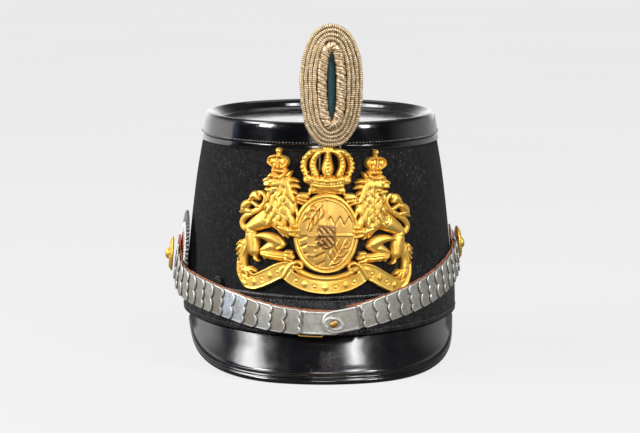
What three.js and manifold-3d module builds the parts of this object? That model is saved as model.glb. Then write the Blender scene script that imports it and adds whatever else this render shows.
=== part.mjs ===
// An officer's shako of black felt with a patent leather crown, base band and two peaks.
// A gilt plate in relief, a chin strap of overlapping metal scales, a ribbed cockade and an
// oval badge of wound metal cord are fixed to it. Millimetres, +Z up, the front towards -Y.
// The hat stands on the edges of its two peaks, at z = 0.

import * as THREE from 'three';
import { mergeVertices } from 'three/addons/utils/BufferGeometryUtils.js';
import Module from 'manifold-3d';

const wasm = await Module();
wasm.setup();

// Sizes of the body

const GAP = 0.3;
const COLUMNS = 42;
const WALL = 3.0;
const BODY_TOP = 153.3;
const BODY_ROWS = [
  { z: 12, halfWidth: 85.5, front: -103.0, rear: 106.4 },
  { z: 40, halfWidth: 85.3, front: -102.2, rear: 104.0 },
  { z: 60, halfWidth: 84.4, front: -101.0, rear: 101.2 },
  { z: 80, halfWidth: 82.6, front: -99.4, rear: 97.2 },
  { z: 100, halfWidth: 80.4, front: -97.6, rear: 92.2 },
  { z: 120, halfWidth: 77.8, front: -95.6, rear: 86.8 },
  { z: 140, halfWidth: 74.4, front: -93.6, rear: 81.2 },
  { z: 160, halfWidth: 71.6, front: -91.8, rear: 75.6 },
];
const HEM = { side: 30.0, frontDip: 2.7, rearDip: 14.0 };

// Sizes of the leather trim

const LID = { ridge: 157.0, edge: 0.9, disc: 151.3, thick: 1.9, discInset: 13.0 };
const SIDE_BAND = { foot: 143.5, thick: 0.9 };
const STRIP = { foot: 139.6, top: 143.2, thick: 0.6 };
const BAND = { height: 25.0, thick: 1.5, bead: 0.5, lip: 0.5 };
const PEAK = { thick: 2.2, under: 0.8, flat: 0.2, rimHeight: 6.2, rimBulge: 1.5 };
const FRONT_PEAK = { middle: 0, spread: 78, reach: 19.0, stations: 22 };
const REAR_PEAK = { middle: 180, spread: 64, reach: 13.0, stations: 16 };

// Sizes of the plate, which hangs a little askew

const PLATE = {
  middle: -0.7, narrow: 0.965, foot: 52.5, tilt: 1.4, turnHeight: 38.0, back: 0.4, stripClearance: 1.5,
};

// Sizes of the oval badge and its two wire prongs

const BADGE = {
  x: 2.5, z: 180.2, back: -95.0, stretch: 18.2, fullness: 2.3, slit: 2.7, roll: 6.4, coil: 2.5,
  coils: 4, backing: 2.0, stations: 24,
};
const PRONG = { middle: 1.7, radius: 0.65, apart: 12.4, foot: 127.5, top: 150.0 };

// Sizes of the chin strap and of what holds it

const SCALE = {
  count: 14, overlap: 1.34, thick: 0.7, gap: 0.35, endHalfWidth: 7.3, bossHalfWidth: 10.4, notch: 1.9,
};
const LEATHER = { thick: 1.2, wider: 0.3, pastBoss: 7.0, steps: 18 };
const END_PLATE = { rampStart: 4.0, rampEnd: 6.6, lift: 1.6 };
const SLOT = { fromEnd: 6.4, across: -1.0, length: 7.8, width: 5.0, tilt: 24 };
const STUD = { length: 5.0, width: 3.8, head: 1.0 };
const BUCKLE = { wire: 0.55, from: 19.6, to: 5.6, below: 1.1, inside: 3.6 };
const KEEPER = { u: -76, foot: 41, head: 59.5, halfWidth: 2.6, off: 2.6, thick: 0.8 };
const BOSS = { radius: 11.0, button: 3.4, height: 2.4, buttonHeight: 2.6, sides: 14 };
const COCKADE = { radius: 27.4, ring: 20.0, centre: 13.5, back: 2.4, sides: 20 };

// Colours and finishes

const FINISH = {
  felt: { color: 0x17171a, roughness: 0.95, metalness: 0 },
  patent: { color: 0x0d0d10, roughness: 0.16, metalness: 0 },
  bandLeather: { color: 0x19191b, roughness: 0.38, metalness: 0 },
  gilt: { color: 0xf0b83c, roughness: 0.32, metalness: 1 },
  brass: { color: 0xc08a34, roughness: 0.35, metalness: 1 },
  nickel: { color: 0xa7a8a2, roughness: 0.42, metalness: 1 },
  strapLeather: { color: 0x6b3a22, roughness: 0.7, metalness: 0 },
  blackLeather: { color: 0x1c1b1b, roughness: 0.6, metalness: 0 },
  bullion: { color: 0xb79c72, roughness: 0.45, metalness: 0.8 },
  cloth: { color: 0x1d4a4e, roughness: 0.95, metalness: 0 },
  steel: { color: 0x8f9194, roughness: 0.35, metalness: 1 },
  blackEnamel: { color: 0x151517, roughness: 0.3, metalness: 0.1 },
  silver: { color: 0xd2d0c8, roughness: 0.35, metalness: 1 },
  red: { color: 0x8e1e1e, roughness: 0.55, metalness: 0 },
};

// Places on the hat

const radians = THREE.MathUtils.degToRad;
const mix = THREE.MathUtils.lerp;

// The value at x of a table of [x, value] pairs, joined by smooth curves.
function along(table, x) {
  const last = table.length - 1;
  let i = 0;
  while (i < last - 1 && x > table[i + 1][0]) i++;
  const [x0, y0] = table[i];
  const [x1, y1] = table[i + 1];
  const slopeAt = (j) => {
    const a = table[Math.max(j - 1, 0)];
    const b = table[Math.min(j + 1, last)];
    return (b[1] - a[1]) / (b[0] - a[0]);
  };
  const h = x1 - x0;
  const t = THREE.MathUtils.clamp((x - x0) / h, 0, 1);
  const rise = t * t * (3 - 2 * t);
  return mix(y0, y1, rise) + h * t * (1 - t) * ((1 - t) * slopeAt(i) - t * slopeAt(i + 1));
}

const bodyTable = (key) => BODY_ROWS.map((row) => [row.z, row[key]]);
const HALF_WIDTH = bodyTable('halfWidth');
const FRONT = bodyTable('front');
const REAR = bodyTable('rear');

// The body's oval at a height: half its width, half its depth and the place of its middle.
function oval(z) {
  const front = along(FRONT, z);
  const rear = along(REAR, z);
  return { a: along(HALF_WIDTH, z), b: (rear - front) / 2, middle: (rear + front) / 2 };
}

// A point by its angle round the hat, 0 at the front and 90 degrees at +X, its height and how
// far it stands off the felt.
function around(theta, z, off) {
  const { a, b, middle } = oval(z);
  return new THREE.Vector3((a + off) * Math.sin(theta), middle - (b + off) * Math.cos(theta), z);
}

// The angle that lies a length u round the felt from the front, at height z.
const ARC_STEPS = 90;
const arcTables = new Map();
function angleAt(u, z) {
  const key = Math.round(z * 2);
  if (!arcTables.has(key)) {
    const { a, b } = oval(z);
    const table = [0];
    for (let i = 1; i <= ARC_STEPS; i++) {
      const t = ((i - 0.5) * Math.PI) / ARC_STEPS;
      table.push(table[i - 1] + (Math.hypot(a * Math.cos(t), b * Math.sin(t)) * Math.PI) / ARC_STEPS);
    }
    arcTables.set(key, table);
  }
  const table = arcTables.get(key);
  const length = Math.abs(u);
  let i = 0;
  while (i < ARC_STEPS - 1 && table[i + 1] < length) i++;
  const t = (length - table[i]) / (table[i + 1] - table[i]);
  return (Math.sign(u) * (i + t) * Math.PI) / ARC_STEPS;
}

const on = (u, z, off) => around(angleAt(u, z), z, off);

// The height of the body's lower edge, which dips at the back.
function hemHeight(theta) {
  const dip = Math.cos(theta) > 0 ? HEM.frontDip : HEM.rearDip;
  return HEM.side - dip * Math.cos(theta) ** 2;
}

// Making solids

// One closed body through rings of points. A loop joins the last ring to the first; otherwise
// the two end rings are filled.
function loft(rings, loop = false) {
  const size = rings[0].length;
  const points = rings.flat();
  const index = [];
  const pairs = loop ? rings.length : rings.length - 1;
  for (let i = 0; i < pairs; i++) {
    const here = i * size;
    const next = ((i + 1) % rings.length) * size;
    for (let j = 0; j < size; j++) {
      const k = (j + 1) % size;
      index.push(here + j, here + k, next + k, here + j, next + k, next + j);
    }
  }
  if (!loop) {
    index.push(...fill(rings[0], 0, true));
    index.push(...fill(rings[rings.length - 1], (rings.length - 1) * size, false));
  }
  return closedBody(points, index);
}

// The triangles that fill one ring.
function fill(ring, start, reverse) {
  const centre = new THREE.Vector3();
  ring.forEach((p) => centre.addScaledVector(p, 1 / ring.length));
  const normal = new THREE.Vector3();
  ring.forEach((p, j) => {
    const a = p.clone().sub(centre);
    const b = ring[(j + 1) % ring.length].clone().sub(centre);
    normal.add(a.cross(b));
  });
  const across = ring[0].clone().sub(centre).normalize();
  const up = normal.normalize().clone().cross(across).normalize();
  const flat = ring.map((p) => {
    const d = p.clone().sub(centre);
    return new THREE.Vector2(d.dot(across), d.dot(up));
  });
  const out = [];
  for (const face of THREE.ShapeUtils.triangulateShape(flat, [])) {
    const turned = THREE.ShapeUtils.area(face.map((j) => flat[j])) < 0;
    const [a, b, c] = face.map((j) => j + start);
    out.push(...(turned !== reverse ? [a, c, b] : [a, b, c]));
  }
  return out;
}

// A geometry of points and triangles with its faces pointing out.
function closedBody(points, index) {
  let volume = 0;
  for (let i = 0; i < index.length; i += 3) {
    const [a, b, c] = [points[index[i]], points[index[i + 1]], points[index[i + 2]]];
    volume += a.dot(b.clone().cross(c));
  }
  if (volume < 0) {
    for (let i = 0; i < index.length; i += 3) [index[i], index[i + 1]] = [index[i + 1], index[i]];
  }
  const geometry = new THREE.BufferGeometry();
  const places = points.flatMap((p) => [p.x, p.y, p.z]);
  geometry.setAttribute('position', new THREE.Float32BufferAttribute(places, 3));
  geometry.setIndex(index);
  geometry.computeVertexNormals();
  return geometry;
}

function toManifold(geometry) {
  const bare = geometry.clone();
  bare.deleteAttribute('normal');
  bare.deleteAttribute('uv');
  const merged = mergeVertices(bare, 1e-5);
  return new wasm.Manifold(
    new wasm.Mesh({
      numProp: 3,
      vertProperties: new Float32Array(merged.attributes.position.array),
      triVerts: new Uint32Array(merged.index.array),
    }),
  );
}

function fromManifold(solid) {
  const mesh = solid.getMesh();
  const geometry = new THREE.BufferGeometry();
  geometry.setAttribute('position', new THREE.BufferAttribute(new Float32Array(mesh.vertProperties), 3));
  geometry.setIndex(new THREE.BufferAttribute(new Uint32Array(mesh.triVerts), 1));
  geometry.computeVertexNormals();
  return geometry;
}

const shako = new THREE.Group();

function add(name, geometry, finish) {
  const mesh = new THREE.Mesh(geometry, new THREE.MeshStandardMaterial(FINISH[finish]));
  mesh.name = name;
  shako.add(mesh);
  return mesh;
}

// A ring right round the hat. section(theta) gives its outline as [off, z] pairs.
function hoop(section) {
  const rings = [];
  for (let i = 0; i < COLUMNS; i++) {
    const theta = (i * 2 * Math.PI) / COLUMNS;
    rings.push(section(theta).map(([off, z]) => around(theta, z, off)));
  }
  return loft(rings, true);
}

// The felt body: a tapering oval wall, open below and closed above by the crown.
function feltBody() {
  const shares = [0, 0.33, 0.66, 1];
  return hoop((theta) => {
    const hem = hemHeight(theta);
    const heights = shares.map((share) => mix(hem, BODY_TOP, share));
    const outer = heights.map((z) => [0, z]);
    const inner = heights.map((z) => [-WALL, z]);
    return [...outer, ...inner.reverse()];
  });
}

// The crown: a sunk disc of patent leather and its raised ridge, over the felt's upper edge.
function crownLid() {
  const { ridge, edge, disc, thick, discInset } = LID;
  const outline = [
    [-discInset, disc],
    [-8.2, disc + 0.8],
    [-3.6, ridge - 1.0],
    [-1.7, ridge],
    [0.3, ridge - 1.2],
    [edge, BODY_TOP + GAP],
    [-WALL - GAP, BODY_TOP + GAP],
    [-discInset, disc - thick],
  ];
  const points = [];
  const index = [];
  const size = outline.length;
  for (let i = 0; i < COLUMNS; i++) {
    const theta = (i * 2 * Math.PI) / COLUMNS;
    const next = (i + 1) % COLUMNS;
    outline.forEach(([off, z]) => points.push(around(theta, z, off)));
    for (let j = 0; j < size - 1; j++) {
      const [a, b, c, d] = [i * size + j, i * size + j + 1, next * size + j + 1, next * size + j];
      index.push(a, b, c, a, c, d);
    }
    const top = COLUMNS * size;
    index.push(top, i * size, next * size);
    index.push(top + 1, next * size + size - 1, i * size + size - 1);
  }
  const { middle } = oval(disc);
  points.push(new THREE.Vector3(0, middle, disc), new THREE.Vector3(0, middle, disc - thick));
  return closedBody(points, index);
}

// The band of patent leather under the ridge, a strip closed by one upright seam.
function crownSideBand() {
  const { foot, thick } = SIDE_BAND;
  return hoop(() => [[GAP, foot], [GAP + thick, foot], [LID.edge, BODY_TOP], [GAP, BODY_TOP]]);
}

// The narrow strip that shows under the row of stitches.
function crownStrip() {
  const { foot, top, thick } = STRIP;
  return hoop(() => [[GAP, foot], [GAP + thick, foot], [GAP + thick, top], [GAP, top]]);
}

// The leather band round the foot of the felt, with a bead along its upper edge.
function baseBand() {
  return hoop((theta) => {
    const foot = hemHeight(theta) - BAND.lip;
    const head = foot + BAND.height;
    const face = GAP + BAND.thick;
    return [
      [GAP, foot],
      [face, foot],
      [face, head - 2.6],
      [face + BAND.bead, head - 1],
      [GAP, head],
    ];
  });
}

// A peak: a steep curved sheet under the body's edge, with a rolled rim. Its flat middle rests
// on the surface that the hat stands on, and its ends run up into the side of the body.
function peak({ middle, spread, reach, stations }) {
  const rings = [];
  for (let i = 0; i <= stations; i++) {
    const side = (2 * i) / stations - 1;
    const theta = radians(middle + side * spread);
    const s = Math.abs(side);
    const root = hemHeight(theta) - PEAK.under;
    const far = Math.max(0, (s - PEAK.flat) / (1 - PEAK.flat));
    const edge = (root - 4.6) * (1 - (1 - far ** 2.2) ** 0.8);
    const out = reach * (1 - s * s) ** 1.5 + 0.2;
    const rim = PEAK.rimHeight * mix(0.5, 1, 1 - s * s);
    const bulge = PEAK.rimBulge * mix(0.3, 1, 1 - s * s);
    const fall = root - edge - rim;
    const sheet = [[0, 0], [0.38, 0.52], [0.9, 1]];
    const outer = sheet.map(([across, down]) => [out * across * 0.9, root - fall * down]);
    const inner = outer.map(([off, z], j) => [off - PEAK.thick, z - j * 0.1]).reverse();
    const lip = [
      [out + bulge * 0.6, edge + rim * 0.72],
      [out + bulge, edge + rim * 0.4],
      [out + bulge * 0.6, edge],
      [out + bulge * 0.6 - 1.8, edge],
    ];
    rings.push([...outer, ...lip, ...inner].map(([off, z]) => around(theta, z, off)));
  }
  return loft(rings);
}

add('felt_body', feltBody(), 'felt');
add('crown_lid', crownLid(), 'patent');
add('crown_side_band', crownSideBand(), 'patent');
add('crown_strip', crownStrip(), 'patent');
add('base_band', baseBand(), 'bandLeather');
add('front_peak', peak(FRONT_PEAK), 'patent');
add('rear_peak', peak(REAR_PEAK), 'patent');

// The two wire prongs of the oval badge, which run down behind the plate.
function prongLine(side) {
  const x = PRONG.middle + (side * PRONG.apart) / 2;
  const lineY = BADGE.back - 1.3;
  const foot = on(x, PRONG.foot, 0.6 + PRONG.radius + GAP);
  return [new THREE.Vector3(x, foot.y, PRONG.foot), new THREE.Vector3(x, lineY, PRONG.top)];
}

function rod(from, to, radius, sides) {
  const length = from.distanceTo(to);
  const geometry = new THREE.CylinderGeometry(radius, radius, length, sides);
  const turn = new THREE.Quaternion().setFromUnitVectors(
    new THREE.Vector3(0, 1, 0),
    to.clone().sub(from).normalize(),
  );
  geometry.applyQuaternion(turn);
  const middle = from.clone().add(to).multiplyScalar(0.5);
  geometry.translate(middle.x, middle.y, middle.z);
  return geometry;
}

// The plate. Its forms are strokes: x runs outwards from the middle line, v up from the foot of
// the scroll, r is half the stroke's width and top is how far it stands off the felt.

const LION = [
  { part: 'tail', top: 2.4, x: [51.5, 56.6, 53.6, 42, 39.4, 44.4], v: [40, 41.6, 47.8, 52, 57.6, 61.2],
    r: [1.9, 1.8, 1.7, 1.7, 1.7, 1.9] },
  { part: 'tail_tuft', top: 2.8, x: [47.4, 53, 57.6], v: [51.8, 53.4, 48.6], r: [1.6, 2.8, 1.2] },
  { part: 'back', top: 4.0, x: [52, 41, 29], v: [39.4, 43.6, 52.5], r: [3.6, 6, 7.4] },
  { part: 'mane', top: 4.8, x: [27, 26.4, 24.6], v: [47, 60, 71.6], r: [6, 8, 3.8] },
  { part: 'upper_lock', top: 3.4, x: [22.6, 16.6], v: [68.4, 69.6], r: [3, 0.9] },
  { part: 'lower_lock', top: 3.2, x: [20, 18, 19], v: [62, 55.6, 50], r: [3, 2.2, 1.2] },
  { part: 'head', top: 4.8, x: [27.6, 34.6, 38.8], v: [69.8, 69.4, 67.6], r: [5, 3.8, 1.9] },
  { part: 'jaw', top: 4.0, x: [31.4, 38.6], v: [64.8, 64.6], r: [2.4, 1.7] },
  { part: 'crown_neck', top: 3.6, x: [29.2, 29.2], v: [73.6, 78], r: [4.2, 5] },
  { part: 'crown_cap', top: 4.2, x: [34.4, 24], v: [80.6, 80.6], r: [3.2, 3.2] },
  { part: 'crown_orb', top: 3.2, x: [29.2, 29.2], v: [83.4, 87.8], r: [1.7, 2] },
  { part: 'far_paw', top: 3.6, x: [20.4, 10.8], v: [59, 60.8], r: [2.4, 2] },
  { part: 'near_arm', top: 4.2, x: [29, 23.6, 17.4], v: [45.6, 39.6, 38.6], r: [4.8, 3.4, 2.6] },
  { part: 'raised_thigh', top: 3.6, x: [43.2, 33, 25.6], v: [36, 33, 30.4], r: [2.6, 4.2, 1.7] },
  { part: 'raised_shin', top: 3.0, x: [30, 40.4], v: [29.8, 26], r: [2.7, 2.3] },
  { part: 'raised_foot', top: 3.4, x: [40, 31, 20.4], v: [24.8, 23.9, 24.5], r: [1.8, 3.2, 2.3] },
  { part: 'thigh', top: 4.2, x: [47.5, 49], v: [38.6, 26.6], r: [4.6, 5.2] },
  { part: 'knee_tuft', top: 2.6, x: [47, 43.6], v: [23.8, 20], r: [2.6, 1.1] },
  { part: 'shin', top: 3.4, x: [53.4, 55, 54.6], v: [26, 19, 13.6], r: [3.8, 2.6, 2.8] },
  { part: 'hock_fur', top: 2.6, x: [58, 58], v: [28.6, 18], r: [1.8, 1.4] },
  { part: 'foot', top: 3.2, x: [55, 49.6], v: [12.8, 12.6], r: [2.8, 2.2] },
  { part: 'scroll_wing', top: 2.2, x: [58.6, 57.4, 50.6, 38, 28, 22], v: [17.6, 9, 6, 10.2, 15.5, 18],
    r: [1.5, 2.5, 3.6, 4.9, 4.8, 3.2] },
];
const MIDDLE = [
  { part: 'scroll_middle', top: 2.9, x: [-25.4, -13, 0, 13, 25.4], v: [13.2, 6.3, 4.5, 6.3, 13.2],
    r: [4.4, 4.5, 4.4, 4.5, 4.4] },
  { part: 'crown_foot', top: 4.2, x: [-7.6, 7.6], v: [63.2, 63.2], r: [3.8, 3.8] },
  { part: 'crown_circlet', top: 4.6, x: [-10.8, 0, 10.8], v: [70.2, 68.4, 70.2], r: [3.6, 4.2, 3.6] },
  { part: 'crown_middle_arch', top: 4.6, x: [0, 0], v: [71.6, 86.5], r: [2.7, 1.7] },
  { part: 'crown_top', top: 4.2, x: [-2.6, 2.6], v: [88.4, 88.4], r: [1.9, 1.9] },
];
const CROWN_ARCHES = [
  { part: 'inner_arch', top: 4.2, x: [6.6, 9.4, 2], v: [72.4, 79.4, 87], r: [1.9, 1.9, 1.6] },
  { part: 'outer_arch', top: 3.4, x: [12.4, 15.6, 12.6, 4], v: [71.8, 78.6, 84.8, 88],
    r: [1.9, 1.8, 1.8, 1.6] },
];
const SHIELD = { v: 37.0, halfWidth: 20.5, halfHeight: 24.9, frame: 2.6, top: 3.6, field: 3.0, sides: 20 };
const SMALL_SHIELD = { v: 36.5, halfWidth: 5.4, height: 12.6, top: 4.0 };

const STROKE_BACK = -0.6;

// A place on the plate, turned with it and laid on the curve of the felt.
function onPlate(x, v, off) {
  const turn = radians(-PLATE.tilt);
  const dv = v - PLATE.turnHeight;
  const u = PLATE.middle + x * PLATE.narrow * Math.cos(turn) - dv * Math.sin(turn);
  const up = x * Math.sin(turn) + dv * Math.cos(turn) + PLATE.turnHeight;
  return on(u, PLATE.foot + up, off);
}

// One stroke as a ridge with sloping sides, its two ends drawn in.
function stroke({ x: xs, v: vs, r: rs, top }, mirror) {
  const nodes = xs.map((x, i) => ({ x: x * mirror, v: vs[i], r: rs[i] }));
  const directions = nodes.map((node, i) => {
    const a = nodes[Math.max(i - 1, 0)];
    const b = nodes[Math.min(i + 1, nodes.length - 1)];
    return new THREE.Vector2(b.x - a.x, b.v - a.v).normalize();
  });
  const ring = (node, direction, share, push) => {
    const across = new THREE.Vector2(-direction.y, direction.x);
    const x = node.x + direction.x * push;
    const v = node.v + direction.y * push;
    const corners = [[-1, STROKE_BACK], [0, top], [1, STROKE_BACK]];
    return corners.map(([side, off]) => {
      const wide = side * node.r * share;
      return onPlate(x + across.x * wide, v + across.y * wide, off);
    });
  };
  const last = nodes.length - 1;
  const rings = [ring(nodes[0], directions[0], 0.5, -nodes[0].r * 0.8)];
  nodes.forEach((node, i) => rings.push(ring(node, directions[i], 1, 0)));
  rings.push(ring(nodes[last], directions[last], 0.5, nodes[last].r * 0.8));
  return toManifold(loft(rings));
}

// The oval shield: a raised frame round a slightly lower field.
function ovalShield() {
  const levels = [
    [1.0, STROKE_BACK],
    [1.0, SHIELD.top],
    [1 - (SHIELD.frame - 0.4) / SHIELD.halfWidth, SHIELD.top],
    [1 - SHIELD.frame / SHIELD.halfWidth, SHIELD.field],
  ];
  const rings = levels.map(([share, off]) => {
    const ring = [];
    for (let i = 0; i < SHIELD.sides; i++) {
      const t = (i * 2 * Math.PI) / SHIELD.sides;
      const x = SHIELD.halfWidth * share * Math.cos(t);
      ring.push(onPlate(x, SHIELD.v + SHIELD.halfHeight * share * Math.sin(t), off));
    }
    return ring;
  });
  return toManifold(loft(rings));
}

// The small shield in the middle of the oval one.
function smallShield() {
  const { halfWidth, height, v, top } = SMALL_SHIELD;
  const outline = [[-1, 0.5], [1, 0.5], [1, -0.15], [0.7, -0.36], [0, -0.5], [-0.7, -0.36], [-1, -0.15]];
  const rings = [STROKE_BACK, top].map((off) =>
    outline.map(([across, up]) => onPlate(across * halfWidth, v + up * height, off)),
  );
  return toManifold(loft(rings));
}

// The felt's own form grown by a clearance, with more of it where the crown strip lies, used to
// cut the plate's back true.
function feltClearance() {
  const { back, foot, stripClearance } = PLATE;
  const low = foot - 15;
  const rows = [low, mix(low, STRIP.foot, 0.33), mix(low, STRIP.foot, 0.66), STRIP.foot - 0.5].map(
    (z) => [z, back],
  );
  rows.push([STRIP.foot - 0.3, stripClearance], [STRIP.foot + 12, stripClearance]);
  const rings = rows.map(([z, off]) => {
    const ring = [];
    for (let i = 0; i < COLUMNS; i++) ring.push(around((i * 2 * Math.PI) / COLUMNS, z, off));
    return ring;
  });
  return toManifold(loft(rings));
}

function plate() {
  const sides = [...LION, ...CROWN_ARCHES];
  const pieces = [
    ...MIDDLE.map((row) => stroke(row, 1)),
    ...sides.map((row) => stroke(row, 1)),
    ...sides.map((row) => stroke(row, -1)),
    ovalShield(),
    smallShield(),
  ];
  let solid = wasm.Manifold.union(pieces);
  solid = solid.subtract(feltClearance());
  for (const side of [-1, 1]) {
    const [foot, head] = prongLine(side);
    const below = foot.clone().lerp(head, -0.1);
    solid = solid.subtract(toManifold(rod(below, head, PRONG.radius + GAP, 8)));
  }
  return fromManifold(solid);
}

add('plate', plate(), 'gilt');

// The oval badge: rows of wound cord round a thicker roll, a cloth core in the slit and a backing.

const fuller = (value) => Math.sign(value) * Math.abs(value) ** (2 / BADGE.fullness);

// A place on one of the badge's ovals, which are a little fuller than ellipses.
function badgePoint(w, t, y) {
  return new THREE.Vector3(
    BADGE.x + w * fuller(Math.cos(t)),
    y,
    BADGE.z + (w + BADGE.stretch) * fuller(Math.sin(t)),
  );
}

function badgeRing(section) {
  const rings = [];
  for (let i = 0; i < BADGE.stations; i++) {
    const t = (i * 2 * Math.PI) / BADGE.stations;
    rings.push(section.map(([w, y]) => badgePoint(w, t, y)));
  }
  return loft(rings, true);
}

function badgeCoils() {
  const inner = BADGE.slit + BADGE.roll + GAP;
  const base = BADGE.back - BADGE.backing - GAP;
  const section = [[inner, base]];
  for (let i = 0; i < BADGE.coils; i++) {
    const w = inner + i * BADGE.coil;
    const face = base - 5.6 + i * 0.8;
    section.push([w + BADGE.coil * 0.5, face], [w + BADGE.coil, face + 1.2]);
  }
  section.push([inner + BADGE.coils * BADGE.coil - 0.6, base]);
  return badgeRing(section);
}

function badgeRoll() {
  const base = BADGE.back - BADGE.backing - GAP;
  const w = BADGE.slit + BADGE.roll / 2;
  const half = BADGE.roll / 2;
  return badgeRing([
    [w - half, base - 1.2],
    [w - half, base - 4.6],
    [w - half * 0.5, base - 6.8],
    [w + half * 0.5, base - 6.8],
    [w + half, base - 4.6],
    [w + half, base],
  ]);
}

function ovalDisc(w, front, back) {
  const rings = [front, back].map((y) => {
    const ring = [];
    for (let i = 0; i < BADGE.stations; i++) ring.push(badgePoint(w, (i * 2 * Math.PI) / BADGE.stations, y));
    return ring;
  });
  return loft(rings);
}

function badgeBacking() {
  const outer = BADGE.slit + BADGE.roll + BADGE.coils * BADGE.coil - 0.4;
  let solid = toManifold(ovalDisc(outer, BADGE.back - BADGE.backing, BADGE.back));
  for (const side of [-1, 1]) {
    const [foot, head] = prongLine(side);
    const above = head.clone();
    above.z += GAP;
    solid = solid.subtract(toManifold(rod(foot, above, PRONG.radius + GAP, 8)));
  }
  return fromManifold(solid);
}

function badgeCore() {
  const base = BADGE.back - BADGE.backing - GAP;
  return ovalDisc(BADGE.slit - GAP, base - 3.6, base);
}

add('badge_coils', badgeCoils(), 'bullion');
add('badge_roll', badgeRoll(), 'bullion');
add('badge_core', badgeCore(), 'cloth');
add('badge_backing', badgeBacking(), 'blackLeather');
for (const [name, side] of [['left', -1], ['right', 1]]) {
  const [foot, head] = prongLine(side);
  add(`badge_prong_${name}`, rod(foot, head, PRONG.radius, 8), 'steel');
}

// The chin strap. Each half runs from its boss to the middle of the front: u is the way round
// the felt from the front, z the height, and off the way that its leather stands off the felt.

const HALVES = {
  left: {
    endRun: 23.5,
    leatherEnd: 6.0,
    plateLength: 29.0,
    path: [[-138, 65.5], [-128, 57.5], [-114, 51.5], [-92, 47.8], [-66, 43.7], [-42, 39], [-20, 36.3],
      [3, 35.4]],
    off: [[0, 6.3], [28, 6.6], [44, 5.4], [60, 4.1], [80, 3.4], [160, 3.2]],
  },
  right: {
    endRun: 27.0,
    leatherEnd: -14.5,
    plateLength: 26.4,
    path: [[138, 71], [122, 65.4], [104, 60], [84, 54.6], [62, 49], [40, 43.8], [20, 39.3],
      [-2.5, 35.4]],
    off: [[0, 0.6], [11, 0.8], [17.5, 2.8], [40, 3.3], [160, 3.3]],
  },
};
for (const half of Object.values(HALVES)) {
  half.curve = new THREE.CatmullRomCurve3(half.path.map(([u, z]) => new THREE.Vector3(u, z, 0)));
  half.curve.arcLengthDivisions = 400;
  half.length = half.curve.getLength();
  half.pitch = (half.length - half.endRun) / SCALE.count;
  half.scalesEnd = 1.5 + half.pitch * SCALE.count;
}

// A place on a half of the strap: s along it from the boss, across towards its upper edge, and
// rise above the back of its leather.
function onStrap(half, s, across, rise) {
  const share = THREE.MathUtils.clamp(s / half.length, 0, 1);
  const point = half.curve.getPointAt(share);
  const tangent = half.curve.getTangentAt(share);
  point.addScaledVector(tangent, s - share * half.length);
  const lean = Math.sign(tangent.x) || 1;
  const u = point.x - tangent.y * across * lean;
  const z = point.y + tangent.x * across * lean;
  return on(u, z, along(half.off, s) + rise);
}

const halfWidthAt = (half, s) => mix(SCALE.bossHalfWidth, SCALE.endHalfWidth, Math.min(1, s / half.length));

// The leather that the scales are fixed to.
function strapLeather(half) {
  const rings = [];
  for (let i = 0; i <= LEATHER.steps; i++) {
    const s = mix(-LEATHER.pastBoss, half.length + half.leatherEnd, i / LEATHER.steps);
    const wide = halfWidthAt(half, Math.max(0, s)) + LEATHER.wider;
    rings.push([
      onStrap(half, s, -wide + 0.6, 0),
      onStrap(half, s, wide, 0),
      onStrap(half, s, wide, LEATHER.thick),
      onStrap(half, s, -wide + 0.6, LEATHER.thick),
    ]);
  }
  return loft(rings);
}

// The free edge of a scale, as [share of the half width, how far it is drawn back].
const TWO_LOBES = [[-1, 0.9], [-0.5, 0], [0, 1], [0.5, 0], [1, 0.9]];
const THREE_LOBES = [[-1, 0.8], [-0.7, 0.1], [-0.36, 0.9], [0, 0], [0.36, 0.9], [0.7, 0.1], [1, 0.8]];

// One scale. It leans, so that its free edge rides over the next scale towards the middle.
function scale(half, number) {
  const start = 1.5 + number * half.pitch;
  const reach = half.pitch * SCALE.overlap;
  const climb = (SCALE.thick + SCALE.gap) / half.pitch;
  const lobes = number % 2 ? THREE_LOBES : TWO_LOBES;
  const base = LEATHER.thick + GAP;
  const rings = lobes.map(([share, back]) => {
    const end = reach - back * SCALE.notch;
    const foot = [[0, 0], [end / 2, 0], [end, 0]];
    const face = foot.map(([s]) => [s, SCALE.thick]).reverse();
    const section = [...foot, ...face];
    return section.map(([s, up]) => {
      const place = start + s;
      return onStrap(half, place, share * halfWidthAt(half, place), base + s * climb + up);
    });
  });
  return loft(rings);
}

// An end plate: it lies flat under the last scale, climbs a step and ends in a half round.
function endPlate(half, lift, steps) {
  const start = half.scalesEnd;
  const wide = SCALE.endHalfWidth - 0.2;
  const { rampStart, rampEnd } = END_PLATE;
  const length = half.plateLength;
  const places = [0, rampStart, rampEnd];
  for (let i = 1; i <= steps; i++) places.push(mix(rampEnd, length - wide, i / steps));
  for (const turn of [30, 55, 75, 88]) places.push(length - wide + wide * Math.sin(radians(turn)));
  const rings = places.map((s) => {
    const past = Math.max(0, s - (length - wide));
    const w = Math.sqrt(wide * wide - past * past);
    const ramp = THREE.MathUtils.clamp((s - rampStart) / (rampEnd - rampStart), 0, 1);
    const rise = LEATHER.thick + GAP + lift * ramp;
    return [[-w, 0], [w, 0], [w, SCALE.thick], [-w, SCALE.thick]].map(([across, up]) =>
      onStrap(half, start + s, across, rise + up),
    );
  });
  return loft(rings);
}

// Turns a geometry made round +Z so that it stands on the strap, its x along the strap.
function standOnStrap(geometry, half, s, rise, turn = 0, aside = 0) {
  const origin = onStrap(half, s, aside, rise);
  const up = onStrap(half, s, aside, rise + 1).sub(origin).normalize();
  const ahead = onStrap(half, s + 0.5, 0, rise).sub(onStrap(half, s - 0.5, 0, rise));
  const across = up.clone().cross(ahead).normalize();
  ahead.crossVectors(across, up);
  const frame = new THREE.Matrix4().makeBasis(ahead, across, up).setPosition(origin);
  return geometry.clone().rotateZ(turn).applyMatrix4(frame);
}

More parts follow.
